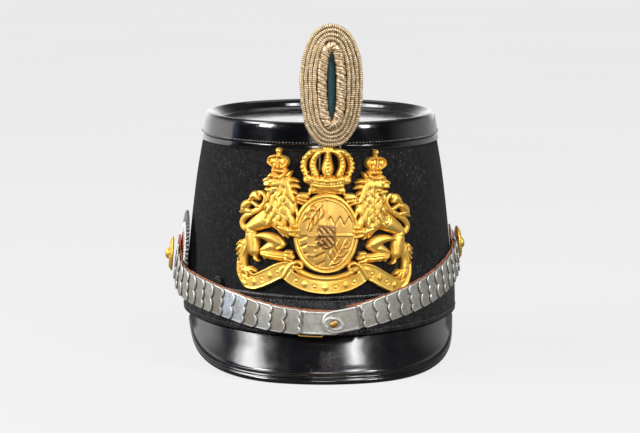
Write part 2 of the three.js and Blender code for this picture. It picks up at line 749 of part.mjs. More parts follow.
const RIGHT_LIFT = END_PLATE.lift + SCALE.thick + SCALE.gap;
const slotPlace = HALVES.right.scalesEnd + HALVES.right.plateLength - SLOT.fromEnd;

function slottedEndPlate() {
  const solid = toManifold(endPlate(HALVES.right, RIGHT_LIFT, 3));
  const cutter = new THREE.CylinderGeometry(SLOT.width / 2, SLOT.width / 2, 8, 10);
  cutter.rotateX(Math.PI / 2).scale(SLOT.length / SLOT.width, 1, 1);
  const rise = LEATHER.thick + GAP + RIGHT_LIFT;
  const placed = standOnStrap(cutter, HALVES.right, slotPlace, rise, radians(SLOT.tilt), SLOT.across);
  return fromManifold(solid.subtract(toManifold(placed)));
}

// The stud stands on the lower end plate and comes up through the slot of the upper one.
function centreStud() {
  const foot = LEATHER.thick + GAP + END_PLATE.lift + SCALE.thick + SCALE.gap;
  const head = LEATHER.thick + GAP + RIGHT_LIFT + SCALE.thick + STUD.head;
  const r = STUD.width / 2;
  const profile = [[0, foot], [r, foot], [r, head - 0.6], [r * 0.6, head], [0, head]];
  const points = profile.map(([x, y]) => new THREE.Vector2(x, y));
  const geometry = new THREE.LatheGeometry(points, 10);
  geometry.rotateX(Math.PI / 2).scale(STUD.length / STUD.width, 1, 1);
  return standOnStrap(geometry, HALVES.right, slotPlace, 0, radians(SLOT.tilt), SLOT.across);
}

// The wire of the small buckle: a bar under the plates' lower edge, with one arm turned up behind
// them and the other end bent up against the edge of the leather.
function buckle() {
  const half = HALVES.left;
  const rise = LEATHER.thick + GAP + BUCKLE.wire;
  const low = -SCALE.endHalfWidth - BUCKLE.below;
  const [from, to] = [half.length - BUCKLE.from, half.length - BUCKLE.to];
  const corners = [
    [from, low + 0.6], [from + 1.2, low], [(from + to) / 2, low],
    [to - 1.2, low], [to, low + 1.6], [to, low + BUCKLE.inside],
  ];
  const path = new THREE.CatmullRomCurve3(corners.map(([s, across]) => onStrap(half, s, across, rise)));
  const section = new THREE.Shape();
  section.absarc(0, 0, BUCKLE.wire, 0, 2 * Math.PI, false);
  return new THREE.ExtrudeGeometry(section, { steps: 12, extrudePath: path, curveSegments: 3 });
}

function keeper() {
  const { u, foot, head, halfWidth, off, thick } = KEEPER;
  const heights = [foot, mix(foot, head, 0.4), mix(foot, head, 0.8), head];
  return loft(
    heights.map((z) => [
      on(u - halfWidth, z, off),
      on(u + halfWidth, z, off),
      on(u + halfWidth, z, off + thick),
      on(u - halfWidth, z, off + thick),
    ]),
  );
}

// A turned form from [radius, height] pairs, standing along +Z.
function turned(profile, sides) {
  const points = profile.map(([r, h]) => new THREE.Vector2(r, h));
  return new THREE.LatheGeometry(points, sides).rotateX(Math.PI / 2);
}

// A side boss: a rosette with a small domed button.
function boss(half) {
  const { radius, button, height, buttonHeight, sides } = BOSS;
  const climb = ((SCALE.thick + SCALE.gap) / half.pitch) * radius;
  const rise = LEATHER.thick + GAP + climb + SCALE.thick + SCALE.gap;
  const profile = [
    [0, 0], [radius, 0], [radius, 0.8], [radius * 0.72, height], [radius * 0.45, height * 0.6],
    [button, height * 0.8], [button * 0.8, height + buttonHeight * 0.7], [0, height + buttonHeight],
  ];
  return standOnStrap(turned(profile, sides), half, 0, rise);
}

// The cockade: three rings, one inside the other, that lie on the felt under the left boss.
const cockadeProfiles = {
  outer_ring: (() => {
    const { radius, ring, back } = COCKADE;
    const inner = ring + GAP;
    return [[inner, back], [radius, back], [radius, back + 0.5], [(radius + inner) / 2, back + 1.5],
      [inner, back + 1.6], [inner, back]];
  })(),
  silver_ring: (() => {
    const { ring, centre, back } = COCKADE;
    const inner = centre + GAP;
    return [[inner, back], [ring, back], [ring, back + 2.0], [(ring + inner) / 2, back + 2.5],
      [inner, back + 2.4], [inner, back]];
  })(),
  centre: (() => {
    const { centre, back } = COCKADE;
    return [[0, back], [centre, back], [centre, back + 2.3], [centre * 0.6, back + 2.9], [0, back + 3.0]];
  })(),
};

// Turns a geometry made round +Z so that it stands on the felt at a place.
function standOnFelt(geometry, u, z) {
  const origin = on(u, z, 0);
  const ahead = on(u + 1, z, 0).sub(on(u - 1, z, 0)).normalize();
  const upward = on(u, z + 8, 0).sub(on(u, z - 8, 0)).normalize();
  const out = ahead.clone().cross(upward).normalize();
  upward.crossVectors(out, ahead);
  const frame = new THREE.Matrix4().makeBasis(ahead, upward, out).setPosition(origin);
  return geometry.clone().applyMatrix4(frame);
}

for (const [name, half] of Object.entries(HALVES)) {
  add(`strap_leather_${name}`, strapLeather(half), 'strapLeather');
  for (let i = 0; i < SCALE.count; i++) {
    add(`scale_${name}_${String(i + 1).padStart(2, '0')}`, scale(half, i), 'nickel');
  }
  add(`boss_${name}`, boss(half), 'gilt');
}
add('end_plate_left', endPlate(HALVES.left, END_PLATE.lift, 3), 'nickel');
add('end_plate_right', slottedEndPlate(), 'nickel');
add('centre_stud', centreStud(), 'brass');
add('strap_buckle', buckle(), 'brass');
add('strap_keeper', keeper(), 'blackLeather');

const [bossU, bossZ] = HALVES.left.path[0];
const cockadeFinish = { outer_ring: 'blackEnamel', silver_ring: 'silver', centre: 'red' };
for (const [name, profile] of Object.entries(cockadeProfiles)) {
  const geometry = turned(profile, COCKADE.sides);
  add(`cockade_${name}`, standOnFelt(geometry, bossU, bossZ), cockadeFinish[name]);
}

// The origin lies under the middle of the whole hat, on the surface that it stands on.
const box = new THREE.Box3().setFromObject(shako, true);
const middle = box.getCenter(new THREE.Vector3());
for (const mesh of shako.children) mesh.position.set(-middle.x, -middle.y, -box.min.z);

export default shako;
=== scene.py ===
# An officer's shako, dressed for rendering round its CAD frame. Blender 4.5.
import math
import random

import bpy
import numpy as np
from mathutils import Matrix, Vector


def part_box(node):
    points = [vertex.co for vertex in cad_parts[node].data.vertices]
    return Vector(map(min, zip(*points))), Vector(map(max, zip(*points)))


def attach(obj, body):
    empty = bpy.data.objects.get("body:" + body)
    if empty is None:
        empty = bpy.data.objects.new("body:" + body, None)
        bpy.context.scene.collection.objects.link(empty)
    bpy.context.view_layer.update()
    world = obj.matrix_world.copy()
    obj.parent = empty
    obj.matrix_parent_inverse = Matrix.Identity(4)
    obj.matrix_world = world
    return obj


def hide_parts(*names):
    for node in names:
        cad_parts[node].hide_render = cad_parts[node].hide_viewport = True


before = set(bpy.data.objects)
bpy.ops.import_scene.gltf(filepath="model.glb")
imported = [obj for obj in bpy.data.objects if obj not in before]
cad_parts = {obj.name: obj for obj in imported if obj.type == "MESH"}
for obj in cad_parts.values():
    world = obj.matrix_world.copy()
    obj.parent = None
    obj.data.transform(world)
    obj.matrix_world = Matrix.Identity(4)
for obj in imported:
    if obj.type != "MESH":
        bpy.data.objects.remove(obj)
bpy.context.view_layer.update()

# ## Felt body
# The body is a stiff felt cylinder covered in napped black cloth, an oval that narrows to the top.
# It is one seamed tube, open below, and everything else is sewn or hooked to it.

MM = 0.001
FELT = np.array([
    # height, half width, front, rear
    (12, 85.5, -103.0, 106.4),
    (40, 85.3, -102.2, 104.0),
    (60, 84.4, -101.0, 101.2),
    (80, 82.6, -99.4, 97.2),
    (100, 80.4, -97.6, 92.2),
    (120, 77.8, -95.6, 86.8),
    (140, 74.4, -93.6, 81.2),
    (160, 71.6, -91.8, 75.6),
])
FELT_TOP, FELT_WALL = 153.3, 3.0
HEM_SIDE, HEM_FRONT_DIP, HEM_REAR_DIP = 30.0, 2.7, 14.0


def along(xs, ys, x):
    """The value at x of points joined by smooth curves."""
    x = np.clip(np.asarray(x, float), xs[0], xs[-1])
    slopes = np.empty(len(xs))
    slopes[1:-1] = (ys[2:] - ys[:-2]) / (xs[2:] - xs[:-2])
    slopes[0] = (ys[1] - ys[0]) / (xs[1] - xs[0])
    slopes[-1] = (ys[-1] - ys[-2]) / (xs[-1] - xs[-2])
    i = np.clip(np.searchsorted(xs, x, side="right") - 1, 0, len(xs) - 2)
    h = xs[i + 1] - xs[i]
    t = (x - xs[i]) / h
    bend = h * t * (1 - t) * ((1 - t) * slopes[i] - t * slopes[i + 1])
    return ys[i] + (ys[i + 1] - ys[i]) * t * t * (3 - 2 * t) + bend


def felt_oval(z):
    """The oval at a height: half its width, half its depth and the place of its middle."""
    half_width, front, rear = (along(FELT[:, 0], FELT[:, i], z) for i in (1, 2, 3))
    return half_width, (rear - front) / 2, (rear + front) / 2


def hem_height(theta):
    """The height of the felt's lower edge, which dips at the back."""
    c = np.cos(theta)
    return HEM_SIDE - np.where(c > 0, HEM_FRONT_DIP, HEM_REAR_DIP) * c * c


# The hat's box is centred on the origin, so the felt stands a little to one side of it.
felt_low, felt_high = (Vector(corner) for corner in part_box("felt_body"))
FELT_X = (felt_low.x + felt_high.x) / 2 / MM
FELT_Y = felt_low.y / MM - float(along(FELT[:, 0], FELT[:, 2], HEM_SIDE - HEM_FRONT_DIP))


def around(theta, z, off):
    """Points in millimetres by angle, height and stand-off from the felt."""
    a, b, middle = felt_oval(z)
    theta, z, off = np.broadcast_arrays(theta, z, off)
    x = (a + off) * np.sin(theta) + FELT_X
    y = middle - (b + off) * np.cos(theta) + FELT_Y
    return np.stack([x, y, z.astype(float)], -1)


def circle(steps):
    """Angles that stand evenly round a whole turn."""
    return np.arange(steps) * 2 * math.pi / steps


ARC_HEIGHTS = np.linspace(0, 170, 69)
ARC_ANGLES = np.linspace(0, math.pi, 721)


def arc_lengths(z):
    """The way round the felt from the front to each of the arc's angles, at a height."""
    a, b, _ = felt_oval(z)
    step = ARC_ANGLES[1]
    t = ARC_ANGLES[:-1] + step / 2
    return np.concatenate([[0], np.cumsum(np.hypot(a * np.cos(t), b * np.sin(t)) * step)])


ARCS = [arc_lengths(z) for z in ARC_HEIGHTS]


def on_felt(u, z, off):
    """Points in millimetres by the way round the felt, the height and the stand-off."""
    u, z = np.broadcast_arrays(np.asarray(u, float), np.asarray(z, float))
    row = np.clip(z / ARC_HEIGHTS[1], 0, len(ARC_HEIGHTS) - 1.001)
    low = row.astype(int)
    theta = np.zeros(u.shape)
    for k in np.unique(low):
        first, second = (np.interp(np.abs(u), ARCS[i], ARC_ANGLES) for i in (k, k + 1))
        theta = np.where(low == k, first + (second - first) * (row - low), theta)
    return around(np.sign(u) * theta, z, off)


def grid_faces(rows, columns, close_rows=False, close_columns=False, start=0):
    """The quads of a grid of points, row by row."""
    r = np.arange(rows if close_rows else rows - 1)
    c = np.arange(columns if close_columns else columns - 1)
    r, c = (side.ravel() for side in np.meshgrid(r, c, indexing="ij"))
    r1, c1 = (r + 1) % rows, (c + 1) % columns
    quads = np.stack([r * columns + c, r * columns + c1, r1 * columns + c1, r1 * columns + c], 1)
    return (quads + start).tolist()


def skin(rings, loop=False):
    """Points and faces over a row of rings, which is joined end to end or capped at both ends."""
    rings = np.asarray(rings)
    rows, columns = rings.shape[:2]
    faces = grid_faces(rows, columns, loop, True)
    if not loop:
        faces += [list(range(columns))[::-1], list(range((rows - 1) * columns, rows * columns))]
    return rings.reshape(-1, 3), faces


def hoop(outline, columns=256):
    """A closed ring right round the hat, from its (stand-off, height) outline at each angle."""
    theta = circle(columns)[:, None]
    off, z = outline(theta)
    return skin(around(theta, z, off), True)


def new_object(name, points, faces):
    """A smooth mesh in the scene, from points in millimetres."""
    mesh = bpy.data.meshes.new(name)
    mesh.from_pydata((np.asarray(points) * MM).tolist(), [], faces)
    mesh.validate()
    mesh.update()
    mesh.polygons.foreach_set("use_smooth", [True] * len(mesh.polygons))
    made = bpy.data.objects.new(name, mesh)
    bpy.context.scene.collection.objects.link(made)
    return made


def new_piece(name, points, faces, material, *replaced, **marks):
    """A piece that rides with the hat. Marks are values on its points, for its material."""
    piece = new_object(name, points, faces)
    piece.data.materials.append(material)
    for mark, values in marks.items():
        layer = piece.data.attributes.new(mark, "FLOAT", "POINT")
        layer.data.foreach_set("value", np.asarray(values, dtype=np.float32))
    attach(piece, "root")
    if replaced:
        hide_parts(*replaced)
    return piece


def face_outwards(made):
    """Turns every face of a closed mesh out."""
    bpy.context.view_layer.objects.active = made
    bpy.ops.object.select_all(action="DESELECT")
    made.select_set(True)
    bpy.ops.object.mode_set(mode="EDIT")
    bpy.ops.mesh.select_all(action="SELECT")
    bpy.ops.mesh.normals_make_consistent(inside=False)
    bpy.ops.object.mode_set(mode="OBJECT")
    return made


def crease(piece, degrees=50):
    """Keeps the edges sharp where the faces meet at more than an angle."""
    piece.data.set_sharp_from_angle(angle=math.radians(degrees))


def closed_piece(*parts, **marks):
    """A piece of a closed mesh, with every face turned out."""
    return face_outwards(new_piece(*parts, **marks))


class Nodes:
    """A node tree in the making, with short words for the nodes that recur."""

    def __init__(self, tree):
        self.tree = tree
        self.place = None

    def put(self, socket, value):
        """Joins another node's output to a socket, or sets the socket's own value."""
        if isinstance(value, bpy.types.NodeSocket):
            self.tree.links.new(value, socket)
        else:
            socket.default_value = (*value, 1) if socket.type == "RGBA" else value

    def add(self, kind, values=None, **settings):
        """A node of a kind, with its settings and its inputs' values."""
        node = self.tree.nodes.new("ShaderNode" + kind)
        for key, value in settings.items():
            setattr(node, key, value)
        for key, value in (values or {}).items():
            self.put(node.inputs[key], value)
        return node

    def noise(self, scale, detail=2.0, roughness=0.5):
        values = {"Vector": self.place, "Scale": scale, "Detail": detail, "Roughness": roughness}
        return self.add("TexNoise", values).outputs[0]

    def cracks(self, place, scale):
        """The distance to the nearest border between cells."""
        values = {"Vector": place, "Scale": scale}
        return self.add("TexVoronoi", values, feature="DISTANCE_TO_EDGE").outputs["Distance"]

    def vector(self, operation, first, second=(0, 0, 0)):
        return self.add("VectorMath", {0: first, 1: second}, operation=operation).outputs

    def span(self, value, low, high, to_low=0.0, to_high=1.0):
        """A value mapped from one range to another, and held inside it."""
        values = {"Value": value, "From Min": low, "From Max": high, "To Min": to_low, "To Max": to_high}
        return self.add("MapRange", values).outputs["Result"]

    def calc(self, operation, first, second=0.0):
        return self.add("Math", {0: first, 1: second}, operation=operation).outputs[0]

    def times(self, first, second):
        return self.calc("MULTIPLY", first, second)

    def plus(self, first, second):
        return self.calc("ADD", first, second)

    def mix(self, factor, first, second, blend="MIX"):
        node = self.add("Mix", data_type="RGBA", blend_type=blend)
        for key, value in ((0, factor), (6, first), (7, second)):
            self.put(node.inputs[key], value)
        return node.outputs[2]

    def ramp(self, factor, *stops):
        """A colour ramp from (place, colour) stops."""
        node = self.add("ValToRGB", {"Fac": factor})
        band = node.color_ramp.elements
        while len(band) < len(stops):
            band.new(1.0)
        for element, (place, colour) in zip(band, stops):
            element.position, element.color = place, (*colour, 1)
        return node.outputs["Color"]

    def mark(self, name):
        """The values that a piece keeps on its points."""
        return self.add("Attribute", attribute_name=name).outputs["Fac"]

    def effect(self, group, **values):
        """What a shared effect puts out at the material's own place."""
        return self.add("Group", {"Place": self.place, **values}, node_tree=group).outputs[0]


class Effect(Nodes):
    """A node group in the making, of one output, for an effect that several materials share."""

    def __init__(self, name, output, **inputs):
        group = bpy.data.node_groups.new(name, "ShaderNodeTree")
        super().__init__(group)
        group.interface.new_socket("Place", in_out="INPUT", socket_type="NodeSocketVector")
        for label, value in inputs.items():
            socket = group.interface.new_socket(label, in_out="INPUT", socket_type="NodeSocketFloat")
            socket.default_value = value
        group.interface.new_socket(output, in_out="OUTPUT", socket_type="NodeSocketFloat")
        self.given = group.nodes.new("NodeGroupInput").outputs
        self.place = self.given["Place"]

    def finished(self, value):
        self.put(self.tree.nodes.new("NodeGroupOutput").inputs[0], value)
        return self.tree


class Finish(Nodes):
    """A material in the making, with its shader and its place in object space."""

    def __init__(self, name):
        self.material = bpy.data.materials.new(name)
        self.material.use_nodes = True
        super().__init__(self.material.node_tree)
        self.tree.nodes.clear()
        self.shader = self.add("BsdfPrincipled")
        self.add("OutputMaterial", {"Surface": self.shader.outputs["BSDF"]})
        self.place = self.add("TexCoord").outputs["Object"]

    def finished(self, colour, roughness, bump, others=None):
        """The material, from a colour, a roughness, a bump (height, strength, depth) and the rest."""
        normal = self.add("Bump", dict(zip(("Height", "Strength", "Distance"), bump))).outputs[0]
        inputs = {"Base Color": colour, "Roughness": roughness, "Normal": normal, **(others or {})}
        for key, value in inputs.items():
            self.put(self.shader.inputs[key], value)
        return self.material


def dust_specks():
    """Small pale specks that lie here and there on a dark surface."""
    m = Effect("dust_specks", "Mask", Size=900.0, Amount=0.1)
    cells = m.add("TexVoronoi", {"Vector": m.place, "Scale": m.given["Size"]}).outputs
    speck = m.span(cells["Distance"], 0.10, 0.34, 1.0, 0.0)
    chance = m.add("SeparateColor", {"Color": cells["Color"]}).outputs[0]
    share = m.times(m.given["Amount"], m.span(m.noise(60.0, 3.0), 0.35, 0.7, 0.3, 2.0))
    return m.finished(m.times(speck, m.calc("LESS_THAN", chance, share)))


DUST = dust_specks()


def felt_cloth():
    """Napped black cloth: a matted fibre bump, a faint sheen, and pale lint and grit."""
    m = Finish("napped_cloth")
    fibre, matting, wide = m.noise(1500.0, 5.0, 0.7), m.noise(330.0, 5.0, 0.7), m.noise(18.0)
    dusty = m.span(wide, 0.40, 0.68, 0.25, 1.0)
    grit = m.times(m.effect(DUST, Size=900.0, Amount=0.3), dusty)
    uneven = m.times(dusty, m.span(matting, 0.42, 0.60, 0.15, 1.0))
    lint = m.times(m.effect(DUST, Size=520.0, Amount=0.45), uneven)
    colour = m.mix(m.span(matting, 0.35, 0.72), (0.0045, 0.0042, 0.0048), (0.019, 0.018, 0.0198))
    for mask, tone in ((grit, (0.055, 0.055, 0.058)), (lint, (0.19, 0.19, 0.195))):
        colour = m.mix(1.0, colour, m.mix(mask, (0, 0, 0), tone), "ADD")
    colour = m.mix(m.times(m.span(wide, 0.5, 0.75), 0.6), colour, (0.012, 0.012, 0.013), "ADD")
    nap = (m.plus(m.times(fibre, 0.5), matting), 0.8, 0.0005)
    sheen = {"Specular IOR Level": 0.12, "Sheen Weight": 0.05, "Sheen Roughness": 0.5}
    return m.finished(colour, 0.95, nap, sheen)


def felt_outline(theta):
    """Up the felt's outer side from its lower edge, and down its inner side."""
    foot = hem_height(theta)
    outer = foot + (FELT_TOP - foot) * np.linspace(0, 1, 60)
    off = np.repeat([0, -FELT_WALL], 60)
    return off, np.concatenate([outer, outer[:, ::-1]], 1)


closed_piece("felt", *hoop(felt_outline), felt_cloth(), "felt_body")

# ## Patent leather crown
# The crown is a sunk disc of patent leather blocked over a rounded ridge, with a skirt that turns
# down over the felt. A row of stitches holds the skirt, over a narrow strip of the same leather.

LID_RIDGE, LID_DISC, LID_THICK, LID_FOOT = 157.0, 151.3, 1.9, 143.5
STRIP_FOOT, STRIP_TOP, STRIP_FACE = 139.6, 143.2, 0.95
GAP = 0.3


def patent_leather(name, crackle_at=None, softer=0.0):
    """Black lacquered leather: a soft ripple, fine dust and scuffs under a hard gloss."""
    m = Finish(name)
    ripple, orange_peel, smear = m.noise(55.0, 2.0, 0.4), m.noise(420.0), m.noise(90.0, 6.0, 0.65)
    height = m.plus(ripple, m.times(orange_peel, 0.06))
    roughness = m.span(smear, 0.35, 0.75, 0.09 + softer, 0.22 + softer)
    dust = m.times(m.effect(DUST, Size=1100.0, Amount=0.03), 0.5)
    colour = m.mix(dust, (0.0035, 0.0035, 0.0042), (0.10, 0.10, 0.105))
    if crackle_at:
        away = m.vector("DISTANCE", m.place, crackle_at)["Value"]
        near = m.span(m.plus(away, m.span(smear, 0.3, 0.7, -0.011, 0.011)), 0.003, 0.013, 1.0, 0.0)
        line = m.times(m.span(m.cracks(m.place, 750.0), 0.0, 0.09, 1.0, 0.0), near)
        height = m.calc("SUBTRACT", height, m.times(line, 0.5))
        roughness = m.plus(roughness, m.times(near, 0.04))
        colour = m.mix(m.times(near, 0.5), colour, (0.022, 0.015, 0.014))
    gloss = {"Specular IOR Level": 0.6, "Coat Weight": 0.7, "Coat Roughness": 0.06 + softer}
    return m.finished(colour, roughness, (height, 0.5, 0.0005), gloss)


def smooth_line(points, steps):
    """A smooth open line through (x, y) pairs."""
    p = np.array(points, float)
    fine = np.linspace(0, len(p) - 1, steps)
    return (along(np.arange(len(p)), p[:, i], fine) for i in (0, 1))


def lid():
    """The ridge and the skirt right round, and the disc over and under."""
    rim_off, rim_z = smooth_line(
        [(-13, LID_DISC), (-8.6, LID_DISC + 0.6), (-5.6, LID_DISC + 3.4), (-3.6, LID_RIDGE - 0.7),
         (-1.7, LID_RIDGE), (0.1, LID_RIDGE - 1.0), (0.8, LID_RIDGE - 3.2), (1.0, LID_RIDGE - 7),
         (1.15, LID_FOOT + 0.6)],
        64,
    )
    under = np.array([
        (1.1, LID_FOOT), (GAP, LID_FOOT), (GAP, FELT_TOP + GAP), (-FELT_WALL - GAP, FELT_TOP + GAP),
        (-6.5, 152.0), (-9.3, LID_DISC - LID_THICK), (-13, LID_DISC - LID_THICK),
    ])
    off, z = np.concatenate([rim_off, under[:, 0]]), np.concatenate([rim_z, under[:, 1]])
    rings = around(circle(256), z[:, None], off[:, None])
    centre = np.array([FELT_X, FELT_Y + float(felt_oval(LID_DISC)[2]), 0])
    shares = (0.92, 0.8, 0.6, 0.4, 0.2, 0.06)
    over, below = (
        [centre + (ring - centre) * [s, s, 0] + [0, 0, top - 0.5 * (1 - s)] for s in shares]
        for ring, top in ((rings[0], LID_DISC), (rings[-1], LID_DISC - LID_THICK))
    )
    return skin([*over[::-1], *rings, *below])


strip_outline = np.array([
    (GAP, STRIP_FOOT), (STRIP_FACE - 0.1, STRIP_FOOT), (STRIP_FACE, STRIP_FOOT + 0.4),
    (STRIP_FACE, STRIP_TOP - 0.4), (STRIP_FACE - 0.1, STRIP_TOP), (GAP, STRIP_TOP),
]).T
patent = patent_leather("patent_leather")
closed_piece("crown_patent", *lid(), patent, "crown_lid", "crown_side_band")
closed_piece("crown_edge_strip", *hoop(lambda theta: strip_outline), patent, "crown_strip")


def thread(name, tone):
    """Waxed thread, twisted in fine ridges."""
    m = Finish(name)
    twist = m.add("TexWave", {"Vector": m.place, "Scale": 900.0, "Distortion": 2.0}).outputs[0]
    colour = m.mix(m.span(m.noise(300.0, 3.0), 0.35, 0.7), tone, tuple(min(1, c * 2.4) for c in tone))
    return m.finished(colour, 0.55, (twist, 0.4, 0.0001))


STITCH_RING = 6
# Each stitch is a bead of thread that dips in at both ends: the way along it, its width and its rise.
STITCH = np.array([
    (-0.5, 0.02, -0.6), (-0.38, 0.75, 0.0), (0.0, 1.0, 0.35), (0.38, 0.75, 0.0), (0.5, 0.02, -0.6),
])


def unit(ways):
    """The same ways, each of length one."""
    return ways / np.linalg.norm(ways, axis=-1, keepdims=True)


def stitch_row(name, height, off, pitch, length, width, slant, material):
    """Stitches right round the hat at a height that may change with the angle."""
    theta = np.linspace(-math.pi, math.pi, 1441)
    steps = np.linalg.norm(np.diff(around(theta, height(theta), off), axis=0), axis=1)
    way = np.concatenate([[0], np.cumsum(steps)])
    count = int(way[-1] / pitch)
    at = np.interp((np.arange(count) + 0.5) * way[-1] / count, way, theta)
    before, after = at - 0.004, at + 0.004
    places = around(at, height(at), off)
    ahead = around(after, height(after), off) - around(before, height(before), off)
    ahead[:, 2] += slant * np.linalg.norm(ahead, axis=1)
    ahead = unit(ahead)
    out = unit(np.cross(ahead, around(at, height(at) + 1, off) - places))
    t = circle(STITCH_RING)[:, None]
    turn = np.cross(out, ahead)[:, None] * np.cos(t) + out[:, None] * np.sin(t)
    s, wide, up = (STITCH[:, i, None] for i in range(3))
    centres = places[:, None] + ahead[:, None] * s * length + out[:, None] * up * width * 0.5
    points = centres[:, :, None] + turn[:, None] * wide[:, None] * width / 2
    bead = np.array(grid_faces(len(STITCH), STITCH_RING, False, True))
    faces = (bead + np.arange(count)[:, None, None] * STITCH.shape[0] * STITCH_RING).reshape(-1, 4)
    return new_piece(name, points.reshape(-1, 3), faces.tolist(), material)


black_thread = thread("black_thread", (0.16, 0.155, 0.145))
stitch_row(
    "crown_stitches", lambda t: np.full_like(t, LID_FOOT + 1.1), off=1.2, pitch=2.2, length=1.15, width=0.62,
    slant=0.2, material=black_thread,
)

# ## Base band
# A strip of grained leather is sewn round the foot of the felt. Its upper edge is turned over a
# cord, which makes the small bead, with a row of stitches under it and another at the foot.

BAND_HEIGHT, BAND_THICK, BAND_BEAD, BAND_LIP = 25.0, 1.5, 0.5, 0.5
BAND_FACE = GAP + BAND_THICK


def leather_grain():
    """Pebbled leather grain: raised cells with soft creases between, and a finer pore."""
    m = Effect("leather_grain", "Height", Size=900.0, Crease=0.5)
    wander = m.add("TexNoise", {"Vector": m.place, "Scale": 500.0, "Detail": 2.0}).outputs["Color"]
    moved = m.vector("ADD", m.place, m.vector("MULTIPLY", wander, (0.0006,) * 3)[0])[0]
    crease_mask = m.span(m.cracks(moved, m.given["Size"]), 0.0, 0.16, 1.0, 0.0)
    pore, folds = m.noise(2500.0, 3.0), m.noise(140.0, 4.0)
    height = m.calc("SUBTRACT", m.times(pore, 0.25), m.times(crease_mask, m.given["Crease"]))
    return m.finished(m.plus(height, m.times(folds, 0.9)))


GRAIN = leather_grain()


def dull_leather(name, tone, paler_tone, roughness):
    """Waxed black leather, rubbed paler on its high places, with dust in the creases."""
    m = Finish(name)
    rub = m.noise(120.0, 6.0, 0.7)
    colour = m.mix(m.span(rub, 0.45, 0.75), tone, paler_tone)
    colour = m.mix(m.times(m.effect(DUST, Size=900.0, Amount=0.16), 0.6), colour, (0.16, 0.16, 0.165))
    rough = m.span(rub, 0.3, 0.75, roughness - 0.1, roughness + 0.16)
    return m.finished(colour, rough, (m.effect(GRAIN, Size=850.0, Crease=0.45), 0.7, 0.0002))


def band_outline(theta):
    """From the foot of the band up its face and over the beaded edge."""
    face, head = BAND_FACE, BAND_HEIGHT
    off, z = np.array([
        # stand-off, height over the foot
        (GAP, 0.0), (face - 0.5, 0.0), (face, 0.5), (face + 0.1, 1.2), (face - 0.12, 3.0), (face, 4.2),
        (face, 9.0), (face, 15.0), (face, head - 4.6), (face - 0.18, head - 3.5), (face + 0.05, head - 2.6),
        (face + BAND_BEAD * 0.8, head - 2.1), (face + BAND_BEAD, head - 1.3),
        (face + BAND_BEAD * 0.6, head - 0.5), (face - 0.4, head), (GAP, head),
    ]).T
    return off, hem_height(theta) - BAND_LIP + z


band_leather = dull_leather("band_leather", (0.006, 0.006, 0.007), (0.032, 0.032, 0.034), 0.26)
closed_piece("band", *hoop(band_outline), band_leather, "base_band")
dusty_thread = thread("dusty_thread", (0.055, 0.055, 0.058))
for name, over_foot, off, pitch, length in (
    ("band_upper_stitches", BAND_HEIGHT - 3.6, BAND_FACE - 0.05, 2.4, 1.7),
    ("band_lower_stitches", 3.0, BAND_FACE, 2.6, 1.8),
):
    stitch_row(
        name, lambda t: hem_height(t) - BAND_LIP + over_foot, off, pitch, length, width=0.55, slant=0.12,
        material=dusty_thread,
    )

# ## Front and rear peaks
# Both peaks are stiff patent leather, blocked to a steep curve and let in under the band. A ridge
# is pressed along the rim, and the edge itself is bound in a darker roll.

PEAK_THICK = 2.2
PEAK_RIM = (
    # The rim, as shares of the way out and up: over the pressed ridge, a fine groove, then the roll.
    (0.30, 0.93), (0.55, 0.86), (0.72, 0.78), (0.80, 0.70), (0.74, 0.635), (0.66, 0.60), (0.70, 0.56),
    (0.86, 0.50), (0.97, 0.41), (1.0, 0.30), (0.93, 0.17), (0.78, 0.06), (0.6, 0.0),
)


def peak(middle, spread, reach, rows=150):
    """Rings across a peak, from one end to the other: out over the top, round the rim and back."""
    side = np.linspace(-1, 1, rows)
    s = np.abs(side)
    theta = np.radians(middle + side * spread)
    root = hem_height(theta) - 0.8
    far = np.maximum(0, (s - 0.2) / 0.8)
    edge = (root - 4.6) * (1 - (1 - far**2.2) ** 0.8)
    full = 1 - s * s
    out = reach * full**1.5 + 0.2
    rim = 6.2 * (0.5 + 0.5 * full)
    bulge = 1.5 * (0.3 + 0.7 * full)
    fall = root - edge - rim
    # The sheet's face from the root down to the ridge, as shares of its reach and of its fall.
    face = [(0, 0), (0.2, 0.25), (0.42, 0.52), (0.66, 0.76), (0.86, 0.93), (0.9, 1.0)]
    face = list(zip(*smooth_line(face, 26)))
    outline = [(out * a * 0.9, root - fall * d) for a, d in face]
    start = out * 0.9
    outline += [(start + (out + bulge - start) * share, edge + rim * up) for share, up in PEAK_RIM]
    outline.append((out + bulge * 0.6 - 1.8, edge))
    outline += [(out * a * 0.9 - PEAK_THICK, root - fall * d - 0.2 * d) for a, d in face[::-1]]
    off, z = np.array(outline).transpose(1, 2, 0)
    return skin(around(theta[:, None], z, off))


crackle = tuple(on_felt(2, 13, 14) * MM)
peak_patent = patent_leather("peak_patent", crackle, 0.07)
closed_piece("peak_front", *peak(0, 78, 19.0), peak_patent, "front_peak")
closed_piece("peak_rear", *peak(180, 64, 13.0, 120), patent, "rear_peak")

# ## Front plate
# The plate is one piece of stamped and gilt brass, bent to the felt: an oval shield under a crown,
# a lion on each side and a scroll below. Its hollows have kept a brown tarnish.

PLATE_MIDDLE, PLATE_NARROW = -0.7, 0.965
PLATE_FOOT, PLATE_TILT, PLATE_TURN = 52.5, 1.4, 38.0
PLATE_BACK, PLATE_SHEET = 0.45, 1.1
CELL, HALF_COLUMNS, ROWS = 0.3, 212, 312
# The relief is worked out over a grid: x outwards from the middle line, v up from the plate's foot.
half_x, half_v = np.meshgrid(np.arange(HALF_COLUMNS) * CELL, np.arange(ROWS) * CELL - 1.2)


